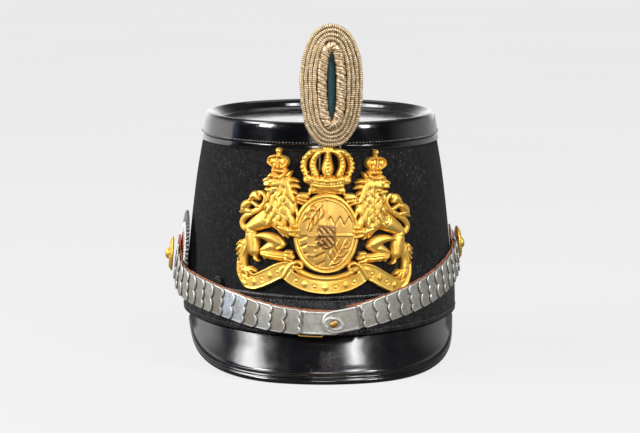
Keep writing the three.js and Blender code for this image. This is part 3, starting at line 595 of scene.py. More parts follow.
def near_path(x, v, path):
    """How far each place is from a tapering path, in its own half widths, and the side it is on."""
    p = np.array(path, float)
    if len(p) > 2:
        t = np.linspace(0, len(p) - 1, (len(p) - 1) * 8 + 1)
        p = np.stack([along(np.arange(len(p)), p[:, i], t) for i in range(3)], 1)
    best, side, inward = np.full(x.shape, 99.0), np.zeros(x.shape), np.full(x.shape, -99.0)
    for (x0, v0, r0), (x1, v1, r1) in zip(p[:-1], p[1:]):
        dx, dv = x1 - x0, v1 - v0
        length = max(dx * dx + dv * dv, 1e-9)
        t = np.clip(((x - x0) * dx + (v - v0) * dv) / length, 0, 1)
        r = r0 + (r1 - r0) * t
        px, pv = x - x0 - dx * t, v - v0 - dv * t
        d = np.hypot(px, pv)
        nearer = d / r < best
        best = np.where(nearer, d / r, best)
        side = np.where(nearer, (dx * pv - dv * px) / math.sqrt(length) / r, side)
        inward = np.maximum(inward, r - d)
    return best, side, inward


def bell(distance, width):
    """A soft ridge: one where there is no distance, and falling away on both sides."""
    return np.exp(-((distance / width) ** 2))


class Relief:
    """Heights over the plate's sheet, and how far each place lies inside its outline."""

    def __init__(self, x, v):
        self.x, self.v = x, v
        self.height = np.zeros(x.shape)
        self.inward = np.full(x.shape, -9.0)

    def lay(self, path, top, ridges=0.0, groove=0.5, power=0.55, ridge_depth=0.16):
        """One rounded form laid over what is there, with a fine groove round it."""
        p = np.array(path, float)
        reach = p[:, 2].max() + 1.5
        rows = (self.v[:, 0] > p[:, 1].min() - reach) & (self.v[:, 0] < p[:, 1].max() + reach)
        columns = (self.x[0] > p[:, 0].min() - reach) & (self.x[0] < p[:, 0].max() + reach)
        box = np.ix_(rows, columns)
        q, side, inward = near_path(self.x[box], self.v[box], path)
        old = self.height[box]
        form = top * np.maximum(0, 1 - q * q) ** power
        if ridges:
            form = form * (1 - ridge_depth * (0.5 + 0.5 * np.cos(side * math.pi * ridges * 2)))
        ditch = groove * np.clip(1 + inward / 0.75, 0, 1) * (inward < 0) * np.clip(old, 0, 1)
        self.height[box] = np.where(inward > 0, np.maximum(old * 0.999, form), np.maximum(old - ditch, 0))
        self.inward[box] = np.maximum(self.inward[box], inward)

    def lay_all(self, rows, *how, **more):
        """Forms from rows of a top, ridges and a path."""
        for top, ridges, *path in rows:
            self.lay(path, top, ridges, *how, **more)

    def press(self, path, depth):
        """A hollow pressed into what is there."""
        self.height -= depth * np.maximum(0, 1 - near_path(self.x, self.v, path)[0] ** 2) ** 0.7

    def pierce(self, path):
        """A hole cut right through."""
        self.inward = np.minimum(self.inward, -near_path(self.x, self.v, path)[2])

    def flat(self, path, top, rim_at=0.86):
        """A flat band with a raised line inside each edge."""
        q, _, inward = near_path(self.x, self.v, path)
        form = (top + 0.5 * bell(q - rim_at, 0.07)) * np.clip(inward / 0.45, 0, 1) ** 0.5
        ditch = 0.5 * np.clip(1 + inward / 0.7, 0, 1) * (inward < 0) * np.clip(self.height, 0, 1)
        self.height = np.where(inward > 0, np.maximum(self.height, form), self.height - ditch)
        self.inward = np.maximum(self.inward, inward)

    def bead(self, x, v, r, top):
        """A round pearl or pellet."""
        self.lay([(x, v, r), (x + 0.01, v, r)], top, groove=0.35)

    def lozenge(self, x, v, wide, high, edge=0.35):
        """A raised diamond, from its half width and half height."""
        away = np.abs(self.x - x) / wide + np.abs(self.v - v) / high
        self.height += 0.8 * np.clip((1 - away) / edge, 0, 1)


# Paths are rows of points (x, v, half width). A form's row has its height and its ridges before them.
half = Relief(half_x, half_v)
scroll = [
    (24.5, 14.4, 5.1), (30, 12.8, 5.1), (38, 8.6, 5.0), (46, 5.2, 4.8), (52, 4.9, 4.2), (56.4, 7.8, 2.8),
]
half.flat(scroll, 1.3)
half.lay_all((
    # the rolled end of the scroll
    (2.0, 0, (59, 16.5, 1.5), (58.9, 11, 1.8), (57, 6.2, 1.5)),
    (1.9, 0, (53, 3.2, 1.2), (55.8, 4.8, 1.6), (57.4, 7.6, 1.2)),
    # the tail and its tufts
    (1.5, 1, (52, 37, 2.2), (56.2, 37.6, 1.9), (57.4, 40.8, 1.8), (55, 44.2, 1.8), (49.5, 47.2, 1.7),
     (43.6, 50.6, 1.6), (40.4, 54, 1.55), (39.9, 57.4, 1.5), (42, 59.6, 1.5), (45.4, 59.2, 1.7)),
    (2.6, 0, (50.8, 54.6, 1.0), (48.8, 57.3, 2.2), (46.4, 57.9, 2.8), (44.3, 56.2, 1.3)),
    (1.9, 1, (51.4, 54.6, 1.3), (47.2, 52.6, 1.4), (44.8, 51.6, 1.2)),
    (2.6, 0, (51.2, 53.2, 1.2), (53, 52.4, 2.4), (55.3, 50.6, 2.8), (56.8, 48.4, 1.2)),
    (2.0, 1, (50.6, 48, 1.2), (54.5, 48, 1.5), (58.2, 46.8, 1.0)),
))
half.pierce([(49.8, 51.9, 0.7), (49.7, 50.2, 0.85)])
half.lay_all((
    # the standing leg and its fur
    (2.2, 0, (57.6, 28.4, 1.5), (60.2, 26.4, 1.0)),
    (2.2, 0, (57.6, 25.8, 1.6), (60.5, 23.6, 1.0)),
    (2.2, 0, (57.4, 22.8, 1.6), (59.9, 20.6, 0.9)),
    (2.2, 0, (57.2, 19.8, 1.5), (59.4, 17.4, 0.8)),
    (2.9, 1.5, (53, 27.5, 4.0), (55.4, 21.5, 3.3), (55.2, 16, 2.8), (54.6, 11.8, 2.9)),
    (2.8, 0, (54.2, 11.6, 2.9), (51, 11.6, 2.7), (48.4, 12.6, 1.9)),
    (2.9, 0, (52.6, 11.4, 1.4), (51, 8.7, 1.2)),
    (2.9, 0, (50.2, 11.8, 1.4), (48.3, 9.7, 1.1)),
    (2.7, 0, (48.4, 13, 1.3), (45.8, 12, 1.0)),
    (2.6, 0, (46.4, 22.6, 1.9), (45.8, 19.6, 1.5), (43.3, 18.1, 0.7)),
    # the raised leg
    (2.5, 0, (31, 29.4, 3.4), (36, 27.4, 3.0), (41, 24.6, 2.0)),
    (2.4, 0, (40.4, 23, 1.3), (39, 20.2, 0.8)),
    (2.4, 0, (36.6, 22, 1.3), (35.2, 20.3, 0.8)),
    (3.0, 1.5, (41, 22.8, 1.6), (37, 22.9, 2.7), (31, 22.4, 2.9), (25.5, 22.4, 2.7), (22.6, 23.4, 2.6)),
    (3.4, 0, (24.6, 25, 1.4), (21.6, 25, 1.3)),
    (3.4, 0, (24, 22.8, 1.5), (20.2, 22.2, 1.3)),
    (3.1, 0, (25, 20.6, 1.4), (21.4, 20, 1.1)),
    (3.3, 0, (45.4, 33.4, 1.0), (40.5, 33.8, 2.1), (34.5, 32.8, 3.3), (29.6, 30.8, 3.2), (26.8, 29.6, 1.8)),
    (3.0, 0, (27.4, 28.4, 1.3), (30.6, 26.6, 0.8)),
    # haunch, back and chest
    (3.7, 0, (50.3, 36.5, 3.2), (48.8, 31, 5.1), (47.4, 24.6, 4.1)),
    (3.6, 0, (51.4, 37.6, 2.9), (46, 40.6, 4.3), (40, 43.6, 5.5), (34, 46.6, 6.4)),
    (3.9, 0, (35, 47, 6.2), (30, 46.4, 5.8), (27, 48, 5.0)),
    # the far arm, on the shield's upper edge
    (2.6, 0, (19.6, 52, 1.7), (17.9, 47.4, 0.9)),
    (3.1, 1, (22, 49, 2.2), (20.5, 53, 2.0), (19.2, 56.6, 2.2), (17.6, 58.8, 2.4)),
    (3.4, 0, (16.4, 60.6, 1.2), (11, 61, 0.9)),
    (3.7, 0, (17.6, 59.4, 1.5), (12, 59.3, 1.3)),
    (3.5, 0, (17.4, 57.6, 1.3), (13.2, 57, 1.2)),
    (3.2, 0, (17.6, 55.9, 1.1), (14.6, 55, 0.9)),
    # the near arm, on its side
    (2.6, 0, (29.4, 38, 1.4), (26.4, 34.7, 0.8)),
    (2.6, 0, (26, 36.4, 1.4), (23.4, 34.1, 0.8)),
    (4.3, 0, (32, 44, 5.0), (27, 40, 3.6), (22.8, 38, 2.9), (20.4, 38.2, 2.9)),
    (4.2, 0, (21.8, 41, 1.4), (18.4, 41.3, 1.2)),
    (4.5, 0, (21.4, 38.7, 1.5), (17.5, 38.6, 1.3)),
    (4.2, 0, (21.8, 36.2, 1.5), (18.6, 35.4, 1.3)),
    (3.2, 1, (26.4, 46, 1.9), (23.6, 43.9, 1.6), (21.2, 44.4, 1.5), (21.6, 46.2, 0.8)),
))

# The mane is a thick mass with a ragged edge, under rows of curling locks.
half.lay([(28, 48, 7.2), (28.6, 54.5, 8.6), (28.8, 61, 7.8), (27.6, 66.4, 5.8)], 4.3, power=0.4)
half.lay_all([(4.0, 1.5, *path) for path in (
    ((25, 70.6, 2.0), (23.2, 73, 1.2), (21.8, 74.4, 0.4)),
    ((24.4, 68.4, 2.2), (20.4, 69.2, 1.3), (17.4, 68.1, 0.4)),
    ((23.6, 65.4, 2.3), (19.4, 65.8, 1.5), (16.5, 64.6, 0.4)),
    ((23.4, 62.4, 2.3), (20, 61.8, 1.4), (18, 60.6, 0.4)),
    ((24, 59, 2.2), (21.6, 56.6, 1.3), (21.4, 54, 0.5)),
    ((32.6, 61.6, 1.9), (35.4, 60, 1.5), (36.3, 57.8, 0.5)),
    ((33.6, 58.4, 2.1), (37, 56.4, 1.5), (38.8, 54, 0.5)),
    ((34.6, 54.4, 2.2), (38, 52.4, 1.5), (39.6, 49.6, 0.5)),
    ((35, 50.6, 2.2), (38, 48, 1.5), (38.6, 45, 0.5)),
)])
LOCK_ROWS, LOCKS_IN_ROW = 6, 4
lock_chance = random.Random(7)
for row in range(LOCK_ROWS):
    v = 44.6 + row * 3.9
    for i in range(LOCKS_IN_ROW):
        x = 22.4 + i * 4.1 + (row % 2) * 2.0
        if x > 36.4 - max(0, row - 3) * 1.6:
            continue
        way = (x - 28.6) * 0.2 + lock_chance.uniform(-0.4, 0.4)
        curl = lock_chance.choice((-1.2, 1.2))
        lock = [(x - way * 0.4, v + 3.6, 1.5), (x + curl * 0.4, v + 1.0, 2.35), (x + way, v - 1.7, 1.9),
                (x + way * 1.4 - curl * 0.7, v - 3.9, 0.7)]
        half.lay(lock, 4.75 + lock_chance.uniform(-0.2, 0.35), 1.0, 0.24, 0.34, 0.05)

half.lay_all((
    # skull, cheek, jaw, muzzle, upper lip, nose, brow, ear and two locks by the cheek
    (5.0, 0, (27.2, 66.6, 4.8), (31.4, 68.0, 5.0)),
    (4.9, 1, (25.6, 67.6, 1.9), (24.4, 64.2, 1.9), (25.4, 61.0, 0.8)),
    (5.2, 1, (28.6, 66.4, 2.0), (27.8, 62.6, 1.9), (29.2, 59.4, 0.8)),
    (5.0, 0, (31.6, 63.9, 2.5), (35.0, 62.6, 2.1), (37.6, 62.7, 1.6)),
    (5.7, 0, (32.0, 66.6, 3.4), (33.0, 66.2, 3.2)),
    (5.8, 0, (33.6, 68.2, 3.5), (36.4, 67.4, 2.9), (37.8, 66.9, 2.3)),
    (6.0, 0, (35.4, 66.0, 1.5), (38.2, 65.7, 1.35)),
    (6.3, 0, (34.8, 69.6, 1.2), (37.6, 68.9, 1.25), (38.9, 68.0, 1.15)),
    (6.4, 0, (31.2, 71.0, 1.7), (33.6, 71.9, 1.7), (35.6, 71.0, 1.3)),
    (5.6, 0, (28.6, 70.6, 1.7), (26.4, 72.6, 1.0)),
), 0.22, power=0.42, ridge_depth=0.08)
half.press([(39.6, 64.5, 0.45), (37.4, 64.2, 0.55), (35.0, 64.5, 0.4)], 2.2)
half.press([(33.6, 69.9, 0.5), (35.0, 69.9, 0.6)], 1.5)
half.bead(34.3, 70.0, 0.5, 5.6)
half.pierce([(33.6, 60.4, 0.4), (32.2, 60.7, 0.5)])
half.lay_all((
    # the lion's crown: circlet, cap, three lobes, finial and three arches
    (3.4, 0, (26, 74.4, 1.5), (34.2, 74.4, 1.5)),
    (3.3, 0, (27.6, 77.4, 2.2), (34, 77.4, 2.2)),
    (3.5, 0, (34.9, 79.9, 3.4), (34.8, 80, 3.4)),
    (3.5, 0, (27, 79.9, 3.4), (27.1, 80, 3.4)),
    (3.7, 0, (31, 79.8, 3.4), (31, 80.6, 3.2)),
    (2.8, 0, (30.7, 83.4, 1.4), (30.7, 86.4, 1.3)),
    (4.4, 0, (33.2, 76.6, 0.7), (37, 79, 0.8), (36.2, 82.2, 0.8), (32.4, 83.4, 0.7)),
    (4.4, 0, (28.6, 76.6, 0.7), (24.8, 79, 0.8), (25.6, 82.2, 0.8), (29.4, 83.4, 0.7)),
    (4.8, 0, (31, 76.6, 0.9), (31, 83.4, 0.8)),
))
half.bead(30.7, 86.5, 1.9, 3.3)
for x in (26, 28.1, 30.2, 32.3, 34.2):
    half.bead(x, 74.5, 0.75, 4.2)
for x in (27, 35):
    half.bead(x, 79.6, 1.1, 4.3)
for x, v in ((30, 12.6), (40.6, 7.3)):
    half.bead(x, v, 0.95, 2.1)
for x, v in ((35.2, 10.0), (46.2, 5.1)):
    half.lozenge(x, v, 1.7, 2.2)

# The two halves are alike; the shield, the crown and the scroll's middle lie over both.
def both_sides(cells, sign=1):
    """A grid over both halves of the plate, from the grid of its right half."""
    return np.concatenate([sign * cells[:, :0:-1], cells], 1)


all_x, all_v = both_sides(half_x, -1), both_sides(half_v)
relief = Relief(all_x, all_v)
SHIELD_V, SHIELD_WIDE, SHIELD_HIGH, SHIELD_FIELD = 37.0, 20.5, 24.9, 0.83
oval = np.hypot(all_x / SHIELD_WIDE, (all_v - SHIELD_V) / SHIELD_HIGH)
relief.inward = (1 - oval) * SHIELD_WIDE
frame_roll = 2.6 * np.sqrt(np.maximum(0, 1 - ((oval - 0.93) / 0.072) ** 2))
field = 2.0 + 1.5 * np.maximum(0, 1 - (oval / 0.9) ** 2) + 0.55 * bell(oval - 0.842, 0.014)
relief.height = np.where(oval < 1, np.where(oval > 0.865, frame_roll, field), 0)


def engrave(mask, amount):
    """Raises or sinks part of the shield's field."""
    relief.height += mask * amount * (oval < SHIELD_FIELD)


# The shield's quarters: a leafy sprig, a row of points, bars beside a pale, and a leaf spray.
engrave(bell(all_x, 0.34), -0.6)
engrave(bell(all_v - 36.6, 0.34), 0.6)
upper_right, lower_left = (all_x > 0.6) & (all_v > 37), (all_x < -0.6) & (all_v < 36)
points_line = 42.6 + 2.6 * np.abs(((all_x - 2.2) / 2.9) % 2 - 1) * 2
engrave(upper_right * bell(all_v - points_line, 0.42), -0.9)
engrave(upper_right * (all_v < points_line), -0.3)
pale = (all_x > -11.6) & (all_x < -6.6)
engrave(lower_left * pale, 0.35)
engrave(lower_left * ~pale * bell(np.cos((all_v - all_x * 0.5) * 2 * math.pi / 5.2) - 1, 0.35), -0.8)
engrave(lower_left * pale * bell(np.cos(all_v * 2 * math.pi / 6.0) - 1, 0.2), 0.25)
for path in (
    # two sprays, each a stem and its leaves
    ((-2.6, 55.5, 0.5), (-6.4, 51, 0.8), (-10, 44.6, 0.7), (-11.6, 39.6, 0.4)),
    ((-4, 54, 0.4), (-3.2, 49.6, 1.2), (-4.4, 46.2, 0.4)),
    ((-6, 51.6, 0.4), (-9.4, 52.4, 1.2), (-12, 50, 0.4)),
    ((-7.4, 49.6, 0.4), (-6.6, 45.6, 1.2), (-7.4, 42.4, 0.4)),
    ((-8.8, 47.2, 0.4), (-12.4, 47, 1.1), (-14.2, 44.2, 0.4)),
    ((-9.8, 45, 0.4), (-9.6, 41, 1.1), (-10.4, 38.6, 0.4)),
    ((2.2, 17.6, 0.4), (5.4, 22, 0.8), (9, 28, 0.7), (12.4, 34.4, 0.4)),
    ((3, 19, 0.4), (6.8, 19.8, 1.2), (9, 22.4, 0.4)),
    ((4.6, 21.6, 0.4), (3, 25, 1.2), (3.2, 28, 0.4)),
    ((6, 23.8, 0.4), (10, 24.4, 1.2), (12.2, 27.2, 0.4)),
    ((7.6, 26, 0.4), (6.4, 30.2, 1.2), (7.2, 33.6, 0.4)),
    ((9.4, 29, 0.4), (13, 29.4, 1.1), (14.4, 32, 0.4)),
):
    q = near_path(all_x, all_v, path)[0]
    engrave(np.maximum(0, 1 - q * q) ** 0.6, 0.9)
    engrave(bell(q - 1.25, 0.22), -0.6)
# A small shield of slanting bars lies over the quarters.
small_low = 28.4 + 3.4 * np.clip(np.abs(all_x) / 5.5, 0, 1) ** 2.2
small_in = np.minimum(np.minimum(5.5 - np.abs(all_x), 42.4 - all_v), all_v - small_low)
small_bars = np.sin((all_x * 0.9 + all_v * 0.75) * 2 * math.pi / 3.1) > 0
relief.height += np.clip(small_in / 0.35, 0, 1) ** 0.6 * (0.85 - 0.5 * small_bars * (small_in > 0.9))


def mirrored(path):
    """A path on the left of the middle line, and the same path on the right."""
    return [[(side * x, v, r) for x, v, r in path] for side in (-1, 1)]


def arched(*right):
    """A path over both halves, from its right half, which starts on the middle line."""
    return [(-x, v, r) for x, v, r in right[:0:-1]] + list(right)


# The scroll's middle, its inner roll, and the folds and curls at its ends, with pellets and lozenges.
relief.flat(arched((0, 4.4, 4.1), (11, 5.6, 4.1), (19.6, 8.7, 4.0), (25.4, 12.4, 3.8)), 1.9, 0.88)
relief.lay(arched((0, 9.9, 1.8), (7, 10.5, 1.8), (13.6, 12.6, 1.8), (19.4, 16.2, 1.7)), 2.5)
fold = [(20.8, 18.6, 1.5), (23.6, 14.6, 1.6), (26, 10.2, 1.3)]
scroll_curl = [
    (20.4, 18, 1.1), (17.8, 19.4, 1.2), (15, 18.4, 1.2), (14.4, 16.6, 1.1), (16.2, 15.6, 1.0),
    (17.6, 16.9, 0.8),
]
for path, top in ((fold, 2.6), (scroll_curl, 3.0)):
    for side in mirrored(path):
        relief.lay(side, top)
for x, v in ((0, 4.4), (-12.6, 6.2), (12.6, 6.2)):
    relief.lozenge(x, v, 1.7, 2.2)
for x, v in ((-6.5, 4.9), (6.5, 4.9), (-18, 8.2), (18, 8.2)):
    relief.bead(x, v, 0.95, 2.7)

# The crown over the shield: a jewelled circlet, five arches set with pearls, and its foot.
for top, *path in (
    (2.6, (0, 64.6, 2.6), (9.4, 63.4, 2.2)),
    (3.6, (0, 68.6, 3.5), (6, 69, 3.3), (12.2, 70.2, 2.8)),
    (3.2, (0, 65.8, 2.0), (8.8, 66.8, 2.0)),
):
    relief.lay(arched(*path), top, power=0.4)
outer_arch = [(12.6, 72.4, 1.9), (14.6, 77, 1.9), (13.6, 82.4, 1.9), (9.4, 86.6, 1.9), (4, 88, 1.7)]
inner_arch = [(7.0, 73, 2.0), (9.0, 77.6, 2.2), (8.4, 82.6, 2.0), (5.4, 86.4, 1.7), (2.4, 87.6, 1.4)]
for outer, inner in zip(mirrored(outer_arch), mirrored(inner_arch)):
    relief.lay(outer, 3.6, power=0.5)
    relief.lay(inner, 4.3, power=0.5)
relief.lay([(0, 73.5, 2.6), (0, 76.4, 3.9), (0, 81, 2.9), (0, 87, 1.8)], 5.0, power=0.6)
relief.lay([(-2.6, 88.2, 1.6), (2.6, 88.2, 1.6)], 3.8)
relief.lay([(-1.8, 89.6, 1.1), (1.8, 89.6, 1.1)], 3.6)
relief.press(arched((0, 64.2, 1.5), (7.4, 62.6, 0.8)), 2.2)
for opening in (
    [(11.9, 72.8, 0.35), (12.0, 77, 0.5), (11.5, 81.4, 0.4), (10.4, 83.6, 0.15)],
    [(3.9, 74.2, 0.6), (5.2, 78.6, 1.0), (4.2, 83, 0.9), (2.3, 85.4, 0.3)],
):
    for side in mirrored(opening):
        relief.pierce(side)
outer_pearls = list(zip(*smooth_line([(13.9, 73.2), (15.9, 77.4), (14.7, 83.0), (10.2, 87.4)], 7)))
inner_pearls = list(zip(*smooth_line([(7.6, 74.6), (9.2, 78), (8.5, 82.6), (5.8, 86)], 7)))
for side in (-1, 1):
    for (outer_x, outer_v), (inner_x, inner_v) in zip(outer_pearls, inner_pearls):
        relief.bead(side * outer_x, outer_v, 1.0, 4.7)
        relief.bead(side * inner_x, inner_v, 0.8, 5.3)
for v in (75.4, 77.6, 79.8, 81.9, 83.8):
    relief.bead(0, v, 0.95, 6.0)


def circlet(x, up):
    """The height of a place on the circlet, which curves up at both ends."""
    return 67.1 + up + 0.02 * x * x


for i in range(13):
    x = -11.4 + i * 1.9
    relief.bead(x, circlet(x, 0), 0.5, 4.3)
    relief.bead(x, circlet(x, 4.9), 0.55, 4.4)
for i in range(5):
    x = -9.2 + i * 4.6
    relief.lozenge(x, circlet(x, 2.4), 1.5, 1.7, 0.4)
for i in range(4):
    x = -6.9 + i * 4.6
    relief.bead(x, circlet(x, 2.4), 0.6, 4.6)

# The paws and the mane lie over the shield; a slit is left between the shield and the scroll.
half_in = both_sides(half.inward)
relief.height = np.maximum(relief.height, both_sides(half.height))
relief.inward = np.maximum(relief.inward, half_in)
relief.pierce(arched((0, 12.7, 0.85), (7, 13.9, 0.75), (12.4, 16.6, 0.5)))


def blurred(values, times):
    """A grid of values smoothed with their neighbours."""
    for _ in range(times):
        for axis in (0, 1):
            values = (np.roll(values, 1, axis) + 2 * values + np.roll(values, -1, axis)) / 4
    return values


def on_plate(x, v, off):
    """A place on the plate, which hangs a little askew, laid on the curve of the felt."""
    turn = math.radians(-PLATE_TILT)
    dv = v - PLATE_TURN
    u = PLATE_MIDDLE + x * PLATE_NARROW * math.cos(turn) - dv * math.sin(turn)
    z = PLATE_FOOT + x * math.sin(turn) + dv * math.cos(turn) + PLATE_TURN
    # Its head stands clear of the strip under the crown.
    return on_felt(u, z, off + np.clip((z - 134) / 6, 0, 1) * 1.1)


def held_together(keep):
    """The cells that hang together with the shield."""
    held = np.zeros_like(keep)
    held[np.argmin(np.abs(all_v[:, 0] - SHIELD_V)), HALF_COLUMNS - 1] = True
    count = 0
    while held.sum() != count:
        count = held.sum()
        for _ in range(8):
            wider = held.copy()
            wider[1:] |= held[:-1]
            wider[:-1] |= held[1:]
            wider[:, 1:] |= held[:, :-1]
            wider[:, :-1] |= held[:, 1:]
            held = wider & keep
    return held


def plate_mesh():
    """The relief as a closed sheet, its outline drawn in to the forms' own edges, and its marks."""
    height = np.maximum(blurred(relief.height, 1), 0)
    inward = blurred(relief.inward, 1)
    keep = held_together(inward > -0.5 * CELL)
    gv, gx = np.gradient(inward, CELL)
    slope = np.maximum(gx * gx + gv * gv, 0.3)
    move = np.where(keep & (inward < 0.5 * CELL), np.clip(-inward / slope, -CELL, CELL), 0)
    x, v = all_x + move * gx, all_v + move * gv
    quads = keep[:-1, :-1] & keep[:-1, 1:] & keep[1:, 1:] & keep[1:, :-1]
    corners = ((0, 0), (0, 1), (1, 1), (1, 0))
    used = np.zeros_like(keep)
    for dr, dc in corners:
        used[dr:used.shape[0] - 1 + dr, dc:used.shape[1] - 1 + dc] |= quads
    total = int(used.sum())
    number = np.full(keep.shape, -1)
    number[used] = np.arange(total)
    front = on_plate(x[used], v[used], PLATE_BACK + PLATE_SHEET + height[used])
    behind = on_plate(x[used], v[used], np.full(total, PLATE_BACK))
    r, c = np.nonzero(quads)
    faces = np.stack([number[r + dr, c + dc] for dr, dc in corners], 1)
    edges = np.concatenate([faces[:, [i, (i + 1) % 4]] for i in range(4)])
    code, back_code = edges @ [total + 1, 1], edges @ [1, total + 1]
    rim = edges[~np.isin(code, back_code)]
    walls = np.stack([rim[:, 1], rim[:, 0], rim[:, 0] + total, rim[:, 1] + total], 1)
    hollow = np.clip((blurred(height, 10) - height) * 0.55 + 0.30, 0, 1)
    kind = 0.5 * (oval < SHIELD_FIELD) * (1 + (small_in > -0.2))
    kind = np.where((half_in > 0) & (all_v > 30), 0.0, kind)
    marks = {name: np.tile(values[used], 2) for name, values in (("hollow", hollow), ("kind", kind))}
    faces = np.concatenate([faces, faces[:, ::-1] + total, walls])
    return np.concatenate([front, behind]), faces.tolist(), marks


def keep_modifiers(piece):
    """Makes what a piece's modifiers give its own mesh."""
    view = bpy.context.evaluated_depsgraph_get()
    mesh = bpy.data.meshes.new_from_object(piece.evaluated_get(view))
    piece.modifiers.clear()
    old, piece.data = piece.data, mesh
    bpy.data.meshes.remove(old)
    mesh.name = piece.name


def gilt_brass():
    """Stamped gilt brass: bright on the high places, brown in the hollows, duller on the shield."""
    m = Finish("gilt_brass")
    hollow, kind, cloud = m.mark("hollow"), m.mark("kind"), m.noise(130.0, 5.0, 0.6)
    bright = m.mix(m.span(cloud, 0.35, 0.7), (1.0, 0.665, 0.15), (1.0, 0.57, 0.085))
    dull = m.mix(m.span(cloud, 0.35, 0.7), (0.90, 0.56, 0.14), (0.76, 0.43, 0.09))
    brown = m.mix(m.span(cloud, 0.3, 0.7), (0.46, 0.26, 0.09), (0.33, 0.17, 0.05))
    colour = m.mix(m.span(kind, 0.2, 0.45), bright, dull)
    colour = m.mix(m.span(kind, 0.7, 0.95), colour, brown)
    tarnish = m.span(m.plus(hollow, m.times(cloud, 0.16)), 0.40, 0.82)
    colour = m.mix(m.times(tarnish, 0.85), colour, (0.40, 0.17, 0.025))
    rough = m.plus(m.span(cloud, 0.3, 0.7, 0.38, 0.50), m.times(tarnish, 0.2))
    return m.finished(colour, rough, (m.noise(1600.0, 3.0), 0.25, 0.0001), {"Metallic": 0.82})


gilt = gilt_brass()
plate_points, plate_faces, plate_marks = plate_mesh()
plate = new_piece("front_plate", plate_points, plate_faces, gilt, "plate", **plate_marks)
plate.modifiers.new("fewer", "DECIMATE").ratio = 0.54
keep_modifiers(plate)
crease(plate, 62)

# ## Oval badge
# A tall oval of pale gold metal thread stands before the crown: four cords laid round a thick wound
# roll, with blue-green cloth in the slit. It is sewn to a leather back with two wire prongs.

BADGE_X, BADGE_Z, BADGE_BACK, BADGE_STRETCH, BADGE_FULLNESS = 2.5, 180.2, -95.0, 18.2, 2.3
BADGE_SLIT, BADGE_ROLL, BADGE_COIL, BADGE_COILS, BADGE_BACKING = 2.7, 6.4, 2.5, 4, 2.0
BADGE_BASE = BADGE_BACK - BADGE_BACKING - GAP
CORD_WIDTH, CORD_PITCH, CORD_RING, CORD_WOBBLE = BADGE_COIL + 0.2, 1.25, 12, 0.14
CORD_PROUD, CORD_FALL, CORD_SEED = 5.6, 0.8, 20
PAD_IN, PAD_OUT, PAD_PROUD_IN, PAD_PROUD_OUT, PAD_STEPS = 9.2, 18.3, 3.4, 1.2, 160


def fuller(value):
    """A sine or cosine drawn out, so that an oval is a little fuller than an ellipse."""
    return np.sign(value) * np.abs(value) ** (2 / BADGE_FULLNESS)


def badge_oval(w, t):
    """Places on the oval of half width w round the badge's middle."""
    return w * fuller(np.cos(t)), (w + BADGE_STRETCH) * fuller(np.sin(t))


def even_angles(w, count):
    """Angles that stand an even way apart round one of the badge's ovals, and the whole way round."""
    t = np.linspace(0, 2 * math.pi, 8193)
    x, z = badge_oval(w, t)
    way = np.concatenate([[0], np.cumsum(np.hypot(np.diff(x), np.diff(z)))])
    return np.interp(np.arange(count) * way[-1] / count, way, t), way[-1]


def on_badge(w, t, across, y):
    """Points round the badge on the oval of half width w, moved outwards across it, at a depth y."""
    x, z = badge_oval(w, t)
    (x0, z0), (x1, z1) = badge_oval(w, t - 0.01), badge_oval(w, t + 0.01)
    step = np.hypot(x1 - x0, z1 - z0)
    x = BADGE_X + FELT_X + x + (z1 - z0) / step * across
    z = BADGE_Z + z - (x1 - x0) / step * across
    return np.stack(np.broadcast_arrays(x, y + FELT_Y, z), -1)


def bullion_cord(w, front, seed):
    """A cord closely wrapped with metal wire, laid round the badge, and its painted shade, dark between the
    wraps and on its back.
    """
    wraps = round(even_angles(w, 8)[1] / CORD_PITCH)
    count = wraps * 4
    chance = random.Random(seed)
    phase = [chance.uniform(0, 2 * math.pi) for _ in range(3)]
    s, angles = circle(count)[:, None], circle(CORD_RING)
    middle = w + CORD_WOBBLE * (np.sin(s * 5 + phase[0]) + np.sin(s * 13 + phase[1]))
    wrap = np.abs(np.cos((np.arange(count)[:, None] / 4 + angles / (2 * math.pi)) * math.pi))
    uneven = np.repeat([chance.uniform(-0.1, 0.1) for _ in range(wraps)], 4)[:, None]
    r = CORD_WIDTH / 2 * (0.78 + 0.26 * wrap + uneven)
    y = front + CORD_WIDTH / 2 + CORD_WOBBLE * np.sin(s * 9 + phase[2]) - r * np.sin(angles)
    rings = on_badge(middle, even_angles(w, count)[0][:, None], r * np.cos(angles), y)
    # Painted shade: dark between the wraps and on the side turned back.
    return skin(rings, True), np.clip(1 - wrap * 1.15 + 0.45 * (1 - np.sin(angles)), 0, 1).ravel()


def metal_thread(name, light, dark, rough):
    """Wound metal thread: pale gold with painted glints and dark specks, and brown painted shade."""
    m = Finish(name)
    tone, speckle = m.noise(260.0, 4.0, 0.7), m.noise(1000.0, 4.0, 0.75)
    wire = m.add("TexVoronoi", {"Vector": m.place, "Scale": 2600.0}).outputs["Distance"]
    fresh = m.mix(m.span(tone, 0.3, 0.7), light, tuple(c * 0.72 for c in light))
    # Painted glints and dark specks from a fine noise, for the wire's sparkle.
    glint = m.mix(m.span(speckle, 0.5, 0.66, 0.0, 0.9), fresh, (1.0, 0.93, 0.76))
    glint = m.mix(m.span(speckle, 0.47, 0.34, 0.0, 0.75), glint, dark)
    # Painted shade: brown where the shade mark is high.
    colour = m.mix(m.span(m.mark("deep"), 0.2, 0.8), glint, dark)
    roughness = m.span(tone, 0.3, 0.7, rough - 0.06, rough + 0.12)
    return m.finished(colour, roughness, (wire, 0.35, 0.0001), {"Metallic": 0.35})


def joined(parts):
    """Several meshes of points and faces as one."""
    points, faces, start = [], [], 0
    for more, quads in parts:
        points.append(more)
        faces.extend([i + start for i in quad] for quad in quads)
        start += len(more)
    return np.concatenate(points), faces


cords, cords_deep = zip(*(
    bullion_cord(
        BADGE_SLIT + BADGE_ROLL + BADGE_COIL * (i + 0.5) + 0.1, BADGE_BASE - CORD_PROUD + CORD_FALL * i,
        CORD_SEED + i,
    )
    for i in range(BADGE_COILS)
))
